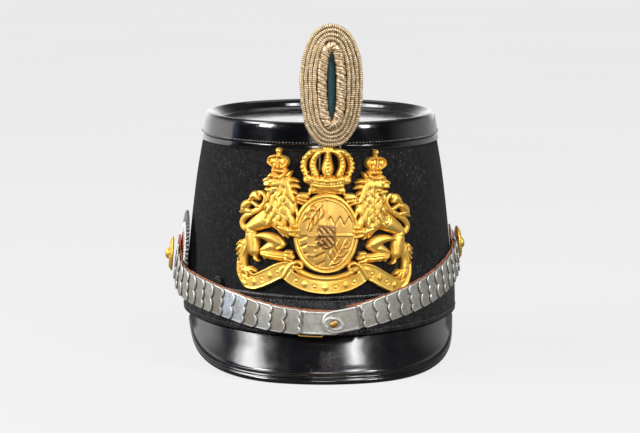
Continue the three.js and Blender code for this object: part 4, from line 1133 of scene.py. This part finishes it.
# The padding under the cords is a low ring of the badge's shape.
pad = skin([
    on_badge(w, even_angles(PAD_OUT, PAD_STEPS)[0], 0, BADGE_BASE - proud)
    for w, proud in ((PAD_IN, 0), (PAD_IN, PAD_PROUD_IN), (PAD_OUT, PAD_PROUD_OUT), (PAD_OUT, 0))
], True)
bullion = metal_thread("bullion_thread", (0.93, 0.68, 0.37), (0.11, 0.055, 0.02), 0.34)
# The padding is painted wholly in shade, like the gaps between the wraps.
deep = np.concatenate([*cords_deep, np.ones(len(pad[0]))])
closed_piece("badge_cords", *joined([*cords, pad]), bullion, "badge_coils", deep=deep)


ROLL_STEPS, ROLL_RING, ROLL_TURN, ROLL_MIDDLE, ROLL_TALL = 1100, 30, 2.2, 3.3, 3.1


def wound_roll():
    """The thick roll: a padded oval wound over and over with slanting turns of metal thread."""
    w_in, w_out = BADGE_SLIT + 0.15, BADGE_SLIT + BADGE_ROLL - 0.1
    w_mid = (w_in + w_out) / 2
    angles = circle(ROLL_RING)
    t, length = even_angles(w_mid, ROLL_STEPS)
    s = np.arange(ROLL_STEPS)[:, None] / ROLL_STEPS
    # Each turn leans on its way over the roll, and is itself of several threads.
    jitter = 0.22 * np.sin(s * 2 * math.pi * 19 + 1) + 0.16 * np.sin(s * 2 * math.pi * 43)
    phase = s * round(length / ROLL_TURN) + 0.55 * np.cos(angles) + jitter
    turn, strand = (np.abs(np.cos(phase * math.pi * times)) ** 0.8 for times in (1, 5))
    irregular = 0.5 + 0.5 * np.sin(phase * 2.4 + np.sin(phase * 0.7) * 2)
    swell = 0.90 + 0.2 * turn + 0.05 * strand + 0.08 * irregular
    across = np.cos(angles) * ((w_out - w_in) / 2 - 0.35) * swell
    y = BADGE_BASE - ROLL_MIDDLE - np.sin(angles) * ROLL_TALL * swell
    rings = on_badge(w_mid, t[:, None], across, y)
    # Painted shade: dark between the turns and strands and on the back of the roll.
    deep = 1 - turn * 0.75 - 0.25 * strand + 0.35 * (np.sin(angles) < 0.1)
    return skin(rings, True), np.clip(deep, 0, 1).ravel()


roll, roll_deep = wound_roll()
roll_thread = metal_thread("roll_thread", (0.90, 0.64, 0.36), (0.12, 0.055, 0.018), 0.3)
closed_piece("badge_wound_roll", *roll, roll_thread, "badge_roll", deep=roll_deep)


def slit_cloth():
    """Plain blue-green cloth, with its weave."""
    m = Finish("blue_green_cloth")
    weave = {"Vector": m.place, "Scale": 700.0, "Distortion": 3.0, "Detail": 2.0}
    colour = m.mix(m.span(m.noise(300.0, 4.0), 0.3, 0.7), (0.020, 0.070, 0.080), (0.035, 0.105, 0.115))
    return m.finished(colour, 0.9, (m.add("TexWave", weave).outputs[0], 0.5, 0.0002))


def soft_pad(name, w, front, dome, back, material, node):
    """A domed pad of the badge's shape, from its middle line out to a half width."""
    outline = on_badge(w, even_angles(w, PAD_STEPS)[0], 0, front)
    middle = np.array([BADGE_X + FELT_X, front + FELT_Y, BADGE_Z])
    shares = (0.15, 0.4, 0.65, 0.85, 0.96, 1.0)
    rings = [middle + (outline - middle) * share + [0, dome * share**4, 0] for share in shares]
    rings += [ring * [1, 0, 1] + [0, back + FELT_Y, 0] for ring in (rings[-1], rings[0])]
    closed_piece(name, *skin(rings), material, node)


cloth_front = BADGE_BASE - PAD_PROUD_IN
soft_pad("badge_slit_cloth", 2.2, cloth_front, 0.5, BADGE_BASE, slit_cloth(), "badge_core")
black_hide = dull_leather("black_hide", (0.012, 0.011, 0.011), (0.03, 0.028, 0.026), 0.6)
soft_pad("badge_leather_back", 18.7, BADGE_BASE + GAP, 0.3, BADGE_BACK, black_hide, "badge_backing")


def wire_metal(name, tone, dark, rough):
    """Drawn or stamped metal with wear, spots of tarnish and fine scratches."""
    m = Finish(name)
    cloud = m.noise(180.0, 6.0, 0.65)
    colour = m.mix(m.span(cloud, 0.35, 0.7), tone, dark)
    roughness = m.span(cloud, 0.3, 0.75, rough - 0.08, rough + 0.2)
    return m.finished(colour, roughness, (m.noise(1500.0, 3.0), 0.3, 0.0001), {"Metallic": 1.0})


def swept(path, radius, ring):
    """A round wire along a path of points in millimetres, capped at both ends."""
    ahead = unit(np.gradient(path, axis=0))
    side = np.cross(ahead[0], [0.3, 0.2, 0.93])
    angles = circle(ring)[:, None]
    rings = []
    for place, way in zip(path, ahead):
        side = unit(side - way * np.dot(side, way))
        rings.append(place + (side * np.cos(angles) + np.cross(way, side) * np.sin(angles)) * radius)
    return skin(rings)


PRONG_MIDDLE, PRONG_RADIUS, PRONG_APART, PRONG_FOOT, PRONG_TOP = 1.7, 0.65, 12.4, 127.5, 150.0
PRONG_OFF, PRONG_BEHIND = 0.6, 1.3
steel = wire_metal("steel_wire", (0.42, 0.42, 0.43), (0.22, 0.21, 0.20), 0.4)
for side, name in ((-1, "left"), (1, "right")):
    u = PRONG_MIDDLE + side * PRONG_APART / 2
    foot = on_felt(u, PRONG_FOOT, PRONG_OFF + PRONG_RADIUS + GAP)
    head = np.array([u + FELT_X, BADGE_BACK - PRONG_BEHIND + FELT_Y, PRONG_TOP])
    wire = swept(np.linspace(foot, head, 15), PRONG_RADIUS, 16)
    closed_piece("badge_prong_wire_" + name, *wire, steel, "badge_prong_" + name)

# ## Chin strap
# Two halves of brown leather carry overlapping nickel scales with scalloped edges. Each runs from a
# boss at the side to an end plate; the right end plate lies over the left one, held by a brass stud.

SCALES, SCALE_OVERLAP, SCALE_THICK, SCALE_GAP, SCALE_NOTCH = 14, 1.38, 0.7, 0.35, 3.0
FIRST_SCALE, PLATE_COLUMNS, SCALE_ROWS = 1.5, 41, 16
BOSS_HALF_WIDTH, END_HALF_WIDTH = 10.4, 7.3
LEATHER_THICK, LEATHER_WIDER, LEATHER_PAST_BOSS = 1.2, 0.3, 7.0
LEATHER_TOP = LEATHER_THICK + GAP
# Paths are (way round the felt, height) from the boss on; stand-offs are (way along the strap, off).
LEFT_PATH = (
    (-138, 65.5), (-128, 57.5), (-114, 51.5), (-92, 47.8), (-66, 43.7), (-42, 39), (-20, 36.3), (3, 35.4),
)
LEFT_OFF = (0, 6.3), (28, 6.6), (44, 5.4), (60, 4.1), (80, 3.4), (160, 3.2)
RIGHT_PATH = (
    (138, 71), (122, 65.4), (104, 60), (84, 54.6), (62, 49), (40, 43.8), (20, 39.3), (-2.5, 35.4),
)
RIGHT_OFF = (0, 0.6), (11, 0.8), (17.5, 2.8), (40, 3.3), (160, 3.3)


class StrapHalf:
    """One half of the strap, as a way round the felt with a width and a stand-off along it."""

    def __init__(self, path, off, end_run, leather_end, plate_length):
        p = np.array(path, float)
        chord = np.concatenate([[0], np.cumsum(np.hypot(*np.diff(p, axis=0).T))])
        fine = np.linspace(0, chord[-1], 900)
        self.u, self.z = (along(chord, p[:, i], fine) for i in (0, 1))
        self.way = np.concatenate([[0], np.cumsum(np.hypot(np.diff(self.u), np.diff(self.z)))])
        self.length = self.way[-1]
        self.tu, self.tz = np.gradient(self.u, self.way), np.gradient(self.z, self.way)
        self.off = np.array(off, float)
        self.leather_end = leather_end
        self.plate_length = plate_length
        self.pitch = (self.length - end_run) / SCALES
        self.climb = (SCALE_THICK + SCALE_GAP) / self.pitch
        self.scales_end = FIRST_SCALE + self.pitch * SCALES
        self.lean = math.copysign(1, self.tu[0])

    def half_width(self, s):
        """Half the strap's width, which narrows from the boss to the end."""
        share = np.clip(s / self.length, 0, 1)
        return BOSS_HALF_WIDTH + (END_HALF_WIDTH - BOSS_HALF_WIDTH) * share

    def at(self, s, across, rise):
        """Points s along the strap from its boss, across towards its upper edge, rise over its back."""
        s, across, rise = np.broadcast_arrays(*(np.asarray(v, float) for v in (s, across, rise)))
        held = np.clip(s, 0, self.length)
        tu, tz = np.interp(held, self.way, self.tu), np.interp(held, self.way, self.tz)
        u = np.interp(held, self.way, self.u) + tu * (s - held) - tz * across * self.lean
        z = np.interp(held, self.way, self.z) + tz * (s - held) + tu * across * self.lean
        return on_felt(u, z, np.interp(s, self.off[:, 0], self.off[:, 1]) + rise)


left_half = StrapHalf(LEFT_PATH, LEFT_OFF, 23.5, 6.0, 29.0)
right_half = StrapHalf(RIGHT_PATH, RIGHT_OFF, 27.0, -14.5, 26.4)


def brown_leather():
    """Old strap leather: orange brown at the cut edges, dark and cracked on its face."""
    m = Finish("brown_strap_leather")
    tones = (0.3, (0.09, 0.03, 0.014)), (0.5, (0.32, 0.11, 0.045)), (0.75, (0.48, 0.19, 0.085))
    colour = m.ramp(m.noise(160.0, 5.0, 0.7), *tones)
    return m.finished(colour, 0.75, (m.effect(GRAIN, Size=900.0, Crease=0.6), 0.8, 0.0003))


def strap_strip(strap):
    """A half's leather, narrower under the boss and rough cut along its upper edge."""
    s = np.linspace(-LEATHER_PAST_BOSS, strap.length + strap.leather_end, 120)[:, None]
    wide = strap.half_width(np.maximum(s, 0)) + LEATHER_WIDER - np.clip((38 - s) / 12, 0, 1)
    share, rise = np.array([
        (-1, 0.0), (0, 0.0), (1, 0.0), (1.012, 0.3), (1.016, 0.6), (1.006, 1.0), (0.985, 1.2), (0, 1.2),
        (-0.985, 1.2), (-1, 1.0),
    ]).T
    rough = 0.12 * np.sin(s * 0.83) + 0.08 * np.sin(s * 2.1)
    across = share * wide + 0.6 * (share < -0.5) + rough * (share > 0.5)
    return skin(strap.at(s, across, rise))


def worn_nickel():
    """Dull nickel: grey, each scale in its own tone, spotted and scratched, with painted rim highlights and
    painted shadow.
    """
    m = Finish("worn_nickel")
    cloud, spots, scratch = m.noise(150.0, 6.0, 0.7), m.noise(700.0, 4.0, 0.7), m.noise(2200.0)
    colour = m.ramp(
        m.mark("tone"), (0.0, (0.33, 0.30, 0.24)), (0.45, (0.54, 0.525, 0.47)), (0.8, (0.66, 0.67, 0.66)),
        (1.0, (0.76, 0.84, 0.95)),
    )
    for share, tone in (
        (m.span(cloud, 0.45, 0.62, 0.0, 0.75), (0.34, 0.30, 0.235)),
        (m.span(spots, 0.58, 0.70, 0.0, 0.6), (0.16, 0.135, 0.10)),
        # painted highlight along each rim, broken up by the spots
        (m.times(m.mark("edge"), m.span(spots, 0.35, 0.65, 0.4, 1.0)), (0.86, 0.90, 0.89)),
        # painted shadow beside the edge of the scale that lies over this one
        (m.times(m.mark("overlap_shadow"), 0.85), (0.05, 0.045, 0.035)),
    ):
        colour = m.mix(share, colour, tone)
    height = m.plus(m.times(scratch, 0.3), spots)
    roughness = m.span(cloud, 0.3, 0.75, 0.34, 0.58)
    return m.finished(colour, roughness, (height, 0.3, 0.00015), {"Metallic": 0.7})


def lobes(share, three):
    """How far a scale's free edge is drawn back at each place across it, as a share of the notch."""
    t = np.abs(share)
    if three:
        q = np.where(t < 0.34, t / 0.36, np.abs(t - 0.64) / np.where(t < 0.64, 0.32, 0.37))
        most, depth = np.where(t > 0.64, 1.0, 0.42), 0.85
    else:
        q = np.abs(t - 0.5) / np.where(t < 0.5, 0.52, 0.5)
        most, depth = np.where(t > 0.5, 1.0, 0.6), 1.0
    return np.clip(1 - np.sqrt(1 - np.clip(q, 0, 1) ** 2), 0, most) * depth


def thin_sheet(face, back):
    """A closed sheet from its face and its back, which are grids of one size."""
    n, m = face.shape[:2]
    faces = grid_faces(n, m) + [quad[::-1] for quad in grid_faces(n, m, start=n * m)]
    rim = [
        *range(m), *range(2 * m - 1, n * m, m), *range(n * m - 2, (n - 1) * m - 1, -1),
        *range((n - 2) * m, 0, -m),
    ]
    faces += [[b, a, a + n * m, b + n * m] for a, b in zip(rim, rim[1:] + rim[:1])]
    return np.concatenate([face, back]).reshape(-1, 3), faces


def on_faces(*parts):
    """Marks for sheets in a row: values on the face of each, and none on its back."""
    return np.concatenate([[part, np.zeros_like(part)] for part in parts]).ravel()


def scale_plate(strap, i):
    """A scale: a thin curved plate with a soft rim, leaning over the next one, with its painted rim
    highlight and painted shadow.
    """
    start, reach, three = FIRST_SCALE + i * strap.pitch, strap.pitch * SCALE_OVERLAP, i % 2
    share = np.linspace(-1, 1, PLATE_COLUMNS)
    share = (np.sin(share * math.pi / 2) + share) / 2
    ways = (1 - (1 - np.linspace(0, 1, SCALE_ROWS)) ** 1.6)[:, None]
    end = reach - lobes(share, three) * SCALE_NOTCH
    ahead = ways * end
    wide = strap.half_width(start + ahead)
    near = np.minimum((1 - ways) * end, (1 - np.abs(share)) * wide * 1.5)
    bead = 0.14 * bell(near - 0.85, 0.4) - 0.42 * np.clip(1 - near / 0.6, 0, 1) ** 1.6
    belly = 0.22 * (1 - share**2)
    lean = LEATHER_TOP + ahead * strap.climb
    face, back = (
        strap.at(start + ahead, share * wide, lean + rise)
        for rise in (SCALE_THICK + bead + belly, belly * 0.6)
    )
    # A painted shadow darkens this scale beside the edge of the scale that lies over it.
    past = ahead - (reach - lobes(share, not three) * SCALE_NOTCH - strap.pitch)
    overlap_shadow = bell(np.maximum(past, 0), 0.7) * (past > -0.4) * (i > 0)
    # The edge mark is a painted highlight along the rim.
    return thin_sheet(face, back), bell(near - 0.55, 0.42), overlap_shadow


strap_leather = brown_leather()
for name, strap in (("left", left_half), ("right", right_half)):
    closed_piece("strap_leather_strip_" + name, *strap_strip(strap), strap_leather, "strap_leather_" + name)

nickel = worn_nickel()
LEFT_TONES = (0.35, 0.4, 0.5, 0.5, 0.3, 0.28, 0.45, 0.12, 0.98, 0.95, 0.16, 0.62, 0.22, 0.5)
RIGHT_TONES = (0.4, 0.35, 0.3, 0.42, 0.4, 0.45, 0.4, 0.5, 0.42, 0.55, 0.45, 0.5, 0.52, 0.45)
for name, strap, tones in (("left", left_half, LEFT_TONES), ("right", right_half, RIGHT_TONES)):
    sheets, edges, overlap_shadows = zip(*(scale_plate(strap, i) for i in range(SCALES)))
    # The edge mark paints a highlight along each scale's rim.
    marks = {"edge": on_faces(*edges), "overlap_shadow": on_faces(*overlap_shadows)}
    marks["tone"] = np.repeat(tones, len(marks["edge"]) // SCALES)
    nodes = ["scale_%s_%02d" % (name, i + 1) for i in range(SCALES)]
    crease(closed_piece("chin_scales_" + name, *joined(sheets), nickel, *nodes, **marks))

RAMP_START, RAMP_END, END_LIFT = 4.0, 6.6, 1.6
RIGHT_LIFT = END_LIFT + SCALE_THICK + SCALE_GAP
STRAIGHT_ROWS, ROUND_ROWS = 42, 18
SLOT_FROM_END, SLOT_ACROSS, SLOT_LENGTH, SLOT_WIDTH, SLOT_TURN = 6.4, -1.0, 7.8, 5.0, math.radians(24)
slot_place = right_half.scales_end + right_half.plate_length - SLOT_FROM_END


def turned_about(first, second, angle):
    """Two ways square to each other, turned towards one another by an angle."""
    c, s = math.cos(angle), math.sin(angle)
    return first * c + second * s, second * c - first * s


def end_plate(name, strap, lift, tone, slotted=False):
    """An end plate: flat under the last scale, up a soft step, then saddled to its round end."""
    wide = END_HALF_WIDTH - 0.2
    straight = strap.plate_length - wide
    round_end = straight + wide * np.sin(np.linspace(0, math.pi / 2 * 0.985, ROUND_ROWS))
    s = np.concatenate([np.linspace(0, straight, STRAIGHT_ROWS, endpoint=False), round_end])[:, None]
    past = np.maximum(0, s - straight)
    w = np.sqrt(np.maximum(wide * wide - past * past, 0.01))
    across = np.sin(np.linspace(-1, 1, PLATE_COLUMNS) * math.pi / 2) * w
    ramp = np.clip((s - RAMP_START) / (RAMP_END - RAMP_START), 0, 1)
    base = LEATHER_TOP + lift * ramp * ramp * (3 - 2 * ramp)
    inside = np.where(past > 0, wide - np.hypot(past, across), w - np.abs(across))
    rise = SCALE_THICK + 0.12 * bell(inside - 0.8, 0.35) - 0.28 * np.clip(1 - inside / 0.45, 0, 1) ** 1.6
    # A painted highlight runs just inside the plate's rim.
    edge = bell(inside - 0.45, 0.35)
    place = strap.scales_end + s
    if slotted:
        a, b = turned_about(place - slot_place, across - SLOT_ACROSS, SLOT_TURN)
        dish = bell(np.hypot(a / (SLOT_LENGTH / 2), b / (SLOT_WIDTH / 2)) - 1.32, 0.2)
        rise = rise + 0.28 * dish
        # The dished rim round the slot is painted pale too, as a highlight.
        edge = np.maximum(edge, dish * 0.8)
    sheet = thin_sheet(strap.at(place, across, base + rise), strap.at(place, across, base))
    marks = {"edge": on_faces(edge), "tone": np.full(edge.size * 2, tone)}
    return closed_piece("strap_end_plate_" + name, *sheet, nickel, "end_plate_" + name, **marks)


def frame_on_strap(strap, s, rise, turn=0.0, aside=0.0):
    """A place on the strap with its ways ahead, across and out, turned about the way out."""
    origin = strap.at(s, aside, rise)
    out = unit(strap.at(s, aside, rise + 1) - origin)
    across = unit(np.cross(out, strap.at(s + 0.5, 0, rise) - strap.at(s - 0.5, 0, rise)))
    return origin, *turned_about(np.cross(across, out), across, turn), out


def turned(rows, sides, frame_at, stretch=1.0, flutes=0, loop=False):
    """A form turned about a place's way out, from rows of a radius, a height and any flute's depth."""
    origin, ahead, across, out = frame_at
    t = circle(sides)[:, None]
    rings = [
        origin + np.cos(t) * r * stretch * ahead + np.sin(t) * r * across
        + (height + sum(depth) * np.cos(t * flutes)) * out
        for r, height, *depth in rows
    ]
    return skin(rings, loop)


crease(end_plate("left", left_half, END_LIFT, 0.55))
right_plate = end_plate("right", right_half, RIGHT_LIFT, 0.5, True)
slot_frame = frame_on_strap(right_half, slot_place, LEATHER_TOP + RIGHT_LIFT, SLOT_TURN, SLOT_ACROSS)
slot_rows = (SLOT_WIDTH / 2, -3.0), (SLOT_WIDTH / 2, 4.0)
slot_form = turned(slot_rows, 40, slot_frame, SLOT_LENGTH / SLOT_WIDTH)
cutter = face_outwards(new_object("slot_cutter", *slot_form))
cutter.data.shade_flat()
cut = right_plate.modifiers.new("slot", "BOOLEAN")
cut.operation, cut.object, cut.solver = "DIFFERENCE", cutter, "EXACT"
keep_modifiers(right_plate)
crease(right_plate)
bpy.data.objects.remove(cutter)

STUD_LENGTH, STUD_WIDTH, STUD_HEAD = 5.0, 3.8, 1.0
stud_foot = LEATHER_TOP + RIGHT_LIFT
stud_top = stud_foot + SCALE_THICK + STUD_HEAD
stud_rows = (
    (0.05, stud_foot), (1.9, stud_foot), (1.9, stud_top - 0.7), (1.82, stud_top - 0.4),
    (1.55, stud_top - 0.12), (1.0, stud_top), (0.5, stud_top + 0.04), (0.05, stud_top + 0.05),
)
stud_frame = frame_on_strap(right_half, slot_place, 0, SLOT_TURN, SLOT_ACROSS)
brass = wire_metal("dull_brass", (0.95, 0.56, 0.15), (0.52, 0.27, 0.07), 0.34)
stud_form = turned(stud_rows, 32, stud_frame, STUD_LENGTH / STUD_WIDTH)
closed_piece("strap_stud", *stud_form, brass, "centre_stud")

BUCKLE_WIRE, BUCKLE_FROM, BUCKLE_TO, BUCKLE_BELOW, BUCKLE_INSIDE = 0.55, 19.6, 5.6, 1.1, 3.6
low = -END_HALF_WIDTH - BUCKLE_BELOW
b0, b1 = left_half.length - BUCKLE_FROM, left_half.length - BUCKLE_TO
corners = (
    (b0, low + 0.6), (b0 + 0.3, low + 0.2), (b0 + 1.2, low), ((b0 + b1) / 2, low), (b1 - 1.4, low),
    (b1 - 0.4, low + 0.4), (b1, low + 1.6), (b1, low + BUCKLE_INSIDE),
)
buckle_line = left_half.at(*smooth_line(corners, 60), LEATHER_TOP + BUCKLE_WIRE)
closed_piece("strap_wire_buckle", *swept(buckle_line, BUCKLE_WIRE, 14), brass, "strap_buckle")

KEEPER_U, KEEPER_FOOT, KEEPER_HEAD, KEEPER_HALF, KEEPER_OFF, KEEPER_THICK = -76, 41, 59.5, 2.6, 2.6, 0.8
heights = np.linspace(KEEPER_FOOT, KEEPER_HEAD, 24)[:, None]
# The keeper's head is drawn in to a round arch.
shoulder = np.sqrt(1 - np.clip((heights - KEEPER_HEAD + KEEPER_HALF) / KEEPER_HALF, 0, 0.98) ** 2)
share, rise = np.array([
    (-1, 0), (1, 0), (1.03, 0.5), (0.95, 0.95), (0.5, 1.08), (-0.5, 1.08), (-0.95, 0.95), (-1.03, 0.5),
]).T
keeper = on_felt(KEEPER_U + share * KEEPER_HALF * shoulder, heights, KEEPER_OFF + rise * KEEPER_THICK)
closed_piece("strap_keeper_loop", *skin(keeper), band_leather, "strap_keeper")

# ## Side bosses
# The strap's halves hang on gilt rosettes of sixteen petals with a small domed button in the middle.
# The weight of the strap tips each one a little outwards at its foot.

BOSS_RADIUS, BOSS_SIDES, BOSS_PETALS, BOSS_LEAN = 11.0, 120, 16, math.radians(7)
BOSS_ROWS = (
    # radius, height, depth of the petals' flutes
    (0.05, 0), (10.6, 0), (11.0, 0.3), (11.0, 0.8, 0.02), (10.7, 1.1, 0.03), (10.2, 1.15, 0.04),
    (9.9, 1.35, 0.08), (9.2, 2.0, 0.12), (8.4, 2.35, 0.14), (7.6, 2.45, 0.12), (6.8, 2.1, 0.08),
    (5.8, 1.6, 0.04), (5.0, 1.5, 0.02), (4.2, 1.75), (3.6, 1.9), (3.4, 2.2), (3.5, 3.0), (3.3, 3.7),
    (2.8, 4.3), (2.1, 4.75), (1.2, 4.98), (0.05, 5.0),
)
boss_hollow = np.repeat([0.3 if 1.4 < row[1] < 2.0 else 0.1 for row in BOSS_ROWS], BOSS_SIDES)
for name, strap in (("left", left_half), ("right", right_half)):
    rise = LEATHER_TOP + strap.climb * BOSS_RADIUS + SCALE_THICK + SCALE_GAP
    origin, ahead, across, out = frame_on_strap(strap, 0, rise)
    ahead, out = turned_about(ahead, out, BOSS_LEAN)
    boss = turned(BOSS_ROWS, BOSS_SIDES, (origin, ahead, across, out), flutes=BOSS_PETALS)
    marks = {"hollow": boss_hollow, "kind": boss_hollow * 0}
    crease(closed_piece("rosette_boss_" + name, *boss, gilt, "boss_" + name, **marks))

# ## Cockade
# A fluted cockade of thin metal lies on the felt under the left boss: lacquered black outside, then
# silvered, and dark red in the middle. Its crests are paler.

COCKADE_BACK = 2.4


def frame_on_felt(u, z, off):
    """A place over the felt with its ways round, up and out."""
    ahead = unit(on_felt(u + 1, z, 0) - on_felt(u - 1, z, 0))
    out = unit(np.cross(ahead, on_felt(u, z + 8, 0) - on_felt(u, z - 8, 0)))
    return on_felt(u, z, 0) + out * off, ahead, np.cross(out, ahead), out


def lacquer(name, tone, paler_tone, metallic, rough):
    """Lacquered or silvered thin metal, paler on the crests of its flutes."""
    m = Finish(name)
    cloud = m.noise(260.0, 6.0, 0.7)
    # The crests of the flutes are painted paler.
    paler_crests = m.span(m.plus(m.mark("crest"), m.times(cloud, 0.9)), 1.05, 1.45)
    roughness = m.span(cloud, 0.3, 0.7, rough, rough + 0.2)
    return m.finished(m.mix(paler_crests, tone, paler_tone), roughness, (cloud, 0.25, 0.0002), {"Metallic": metallic})


cockade_at = frame_on_felt(*LEFT_PATH[0], COCKADE_BACK)
for name, node, flutes, open_middle, finish, rows in (
    # each part's rows are of a radius, a height and the depth of its flutes
    ("cockade_black_ring", "cockade_outer_ring", 60, True,
     lacquer("black_lacquer", (0.006, 0.006, 0.007), (0.40, 0.40, 0.385), 0.2, 0.4),
     ((27.4, 0.5, 0.1), (27.0, 0.9, 0.25), (26, 1.25, 0.35), (24, 1.5, 0.38), (22, 1.6, 0.35),
      (20.7, 1.55, 0.2), (20.3, 1.4, 0.1))),
    ("cockade_silvered_ring", "cockade_silver_ring", 60, True,
     lacquer("silvered_metal", (0.80, 0.79, 0.75), (0.95, 0.94, 0.90), 0.55, 0.35),
     ((20.0, 1.8, 0.1), (19.6, 2.1, 0.2), (18.5, 2.35, 0.28), (17, 2.5, 0.3), (15.4, 2.5, 0.28),
      (14.2, 2.4, 0.2), (13.8, 2.2, 0.1))),
    ("cockade_red_centre", "cockade_centre", 48, False,
     lacquer("red_lacquer", (0.20, 0.012, 0.012), (0.30, 0.04, 0.03), 0.1, 0.3),
     ((13.5, 2.0, 0.08), (13.1, 2.35, 0.18), (12, 2.6, 0.22), (9, 2.85, 0.2), (5, 3.0, 0.12),
      (2, 3.05, 0.05), (0.3, 3.05, 0.0))),
):
    sides = flutes * 8
    rows = [(rows[0][0], 0, 0), *rows, (rows[-1][0], 0, 0)]
    crest = np.ravel([0.5 + 0.5 * np.cos(circle(sides) * flutes) * (depth > 0) for _, _, depth in rows])
    fluted = turned(rows, sides, cockade_at, flutes=flutes, loop=open_middle)
    crease(closed_piece(name, *fluted, finish, node, crest=crest))

# ## Floor, light and camera
# The hat stands on its peaks on a pale table, lit softly from both sides as in a studio, with the
# dark room in front of it, which is what the patent leather reflects.

FLOOR_SEEN, FLOOR_REFLECTED = 0.985, 0.08
FLOOR_REACH = 9000


def pale_floor():
    """A pale seamless table top, which looks darker in the leather's reflections than to the eye."""
    m = Finish("pale_floor")
    # Away from the hat the table is lit behind it: from an edge on the left, and softly on the right.
    x, y, _ = m.add("SeparateXYZ", {"Vector": m.place}).outputs
    steep = m.calc("DIVIDE", y, m.calc("MAXIMUM", m.calc("ABSOLUTE", x), 0.01))
    left = m.times(m.calc("LESS_THAN", x, 0.0), m.span(steep, 0.27, 0.34, 0.0, 1.2))
    right = m.times(m.calc("GREATER_THAN", x, 0.0), m.span(steep, -0.6, 0.7, 0.0, 0.6))
    away = m.span(m.vector("LENGTH", m.place)["Value"], 0.5, 1.0)
    reflected = m.plus(m.times(m.plus(left, right), away), FLOOR_REFLECTED)
    seen = m.add("LightPath").outputs["Is Camera Ray"]
    unseen = m.times(m.calc("SUBTRACT", 1.0, seen), reflected)
    for key, value in (
        ("Base Color", (0.05, 0.05, 0.05)), ("Roughness", 0.9), ("Specular IOR Level", 0.0),
        ("Emission Color", m.ramp(m.noise(3.0), (0.3, (0.82, 0.82, 0.82)), (0.7, (0.83, 0.83, 0.83)))),
        ("Emission Strength", m.plus(m.times(seen, FLOOR_SEEN), unseen)),
    ):
        m.put(m.shader.inputs[key], value)
    return m.material


square = ((-1, -1), (1, -1), (1, 1), (-1, 1))
floor = new_object("floor", [(x * FLOOR_REACH, y * FLOOR_REACH, 0) for x, y in square], [(0, 1, 2, 3)])
floor.data.materials.append(pale_floor())

world = bpy.data.worlds.new("studio")
bpy.context.scene.world = world
world.use_nodes = True
world.node_tree.nodes.clear()
sky = Nodes(world.node_tree)
# The room is pale behind and beside the hat and dark in front of it, where the camera is.
x, y, z = sky.add("SeparateXYZ", {"Vector": sky.add("TexCoord").outputs["Generated"]}).outputs
behind = sky.span(y, -1.0, 1.0)
left_room = sky.ramp(
    behind, (0.0, (0.010, 0.012, 0.018)), (0.575, (0.012, 0.014, 0.03)), (0.595, (0.12, 0.16, 0.33)),
    (0.64, (0.14, 0.19, 0.38)), (0.66, (1.5, 1.46, 1.43)), (0.90, (0.85, 0.84, 0.83)),
    (0.975, (1.3, 1.3, 1.32)),
)
right_room = sky.ramp(
    behind, (0.0, (0.010, 0.012, 0.018)), (0.36, (0.012, 0.014, 0.02)), (0.66, (0.5, 0.48, 0.465)),
    (0.90, (0.5, 0.49, 0.48)), (0.975, (1.3, 1.3, 1.32)),
)
room = sky.mix(sky.span(x, -0.1, 0.1), left_room, right_room)
room = sky.mix(sky.times(sky.span(z, 0.14, 0.45), 0.9), room, (0.03, 0.032, 0.04))
room = sky.mix(sky.add("LightPath").outputs["Is Camera Ray"], room, (0.83, 0.83, 0.83))
sky.add("OutputWorld", {"Surface": sky.add("Background", {"Color": room, "Strength": 1.0}).outputs[0]})


def towards(azimuth, elevation):
    """The way from the hat to a direction in degrees, 0 at the front and 90 at +X."""
    a, e = math.radians(azimuth), math.radians(elevation)
    return Vector((math.sin(a) * math.cos(e), -math.cos(a) * math.cos(e), math.sin(e)))


def placed(name, data, place, turn):
    """A light or camera in the scene, at a place and turned."""
    made = bpy.data.objects.new(name, data)
    made.location = place
    made.rotation_euler = turn.to_euler()
    bpy.context.scene.collection.objects.link(made)
    return made


LIGHTS_AIM = Vector((0, 0, 0.09))
for name, azimuth, elevation, distance, width, height, power, lean in (
    ("left_low_box", -66, 24, 1.5, 0.32, 0.42, 14, 0),
    ("right_low_box", 47, 24, 1.5, 0.20, 0.40, 9, 0),
    ("left_high_box", -91, 42, 1.5, 0.60, 0.85, 9, 40),
    ("left_high_strip", -89, 41, 1.45, 0.30, 0.75, 4, 40),
    ("right_high_box", 40, 52, 1.5, 0.34, 0.85, 6, -30),
    ("right_high_strip", 40, 52, 1.45, 0.16, 0.75, 3, -30),
    ("front_low", -3, 15, 2.3, 0.8, 0.5, 14, 0),
    ("rear_softbox", 175, 62, 1.6, 1.4, 0.9, 3, 0),
):
    light = bpy.data.lights.new(name, "AREA")
    light.shape = "RECTANGLE"
    light.size, light.size_y = width, height
    light.energy = power
    way = towards(azimuth, elevation)
    facing = (-way).to_track_quat("-Z", "Y").to_matrix().to_4x4()
    placed(name, light, LIGHTS_AIM + distance * way, facing @ Matrix.Rotation(math.radians(lean), 4, "Z"))

CAMERA_DISTANCE, CAMERA_AZIMUTH, CAMERA_ELEVATION = 2.0, -2.8, 7.2
lens = bpy.data.cameras.new("camera")
lens.sensor_width = 36.0
lens.lens = 175.8
lens.clip_end = 50.0
way = towards(CAMERA_AZIMUTH, CAMERA_ELEVATION)
seen_point = Vector((FELT_X, FELT_Y - 8.0, 88.6)) * MM
camera = placed("camera", lens, seen_point + CAMERA_DISTANCE * way, way.to_track_quat("Z", "Y"))
bpy.context.scene.camera = camera
bpy.context.scene.view_settings.view_transform = "Standard"
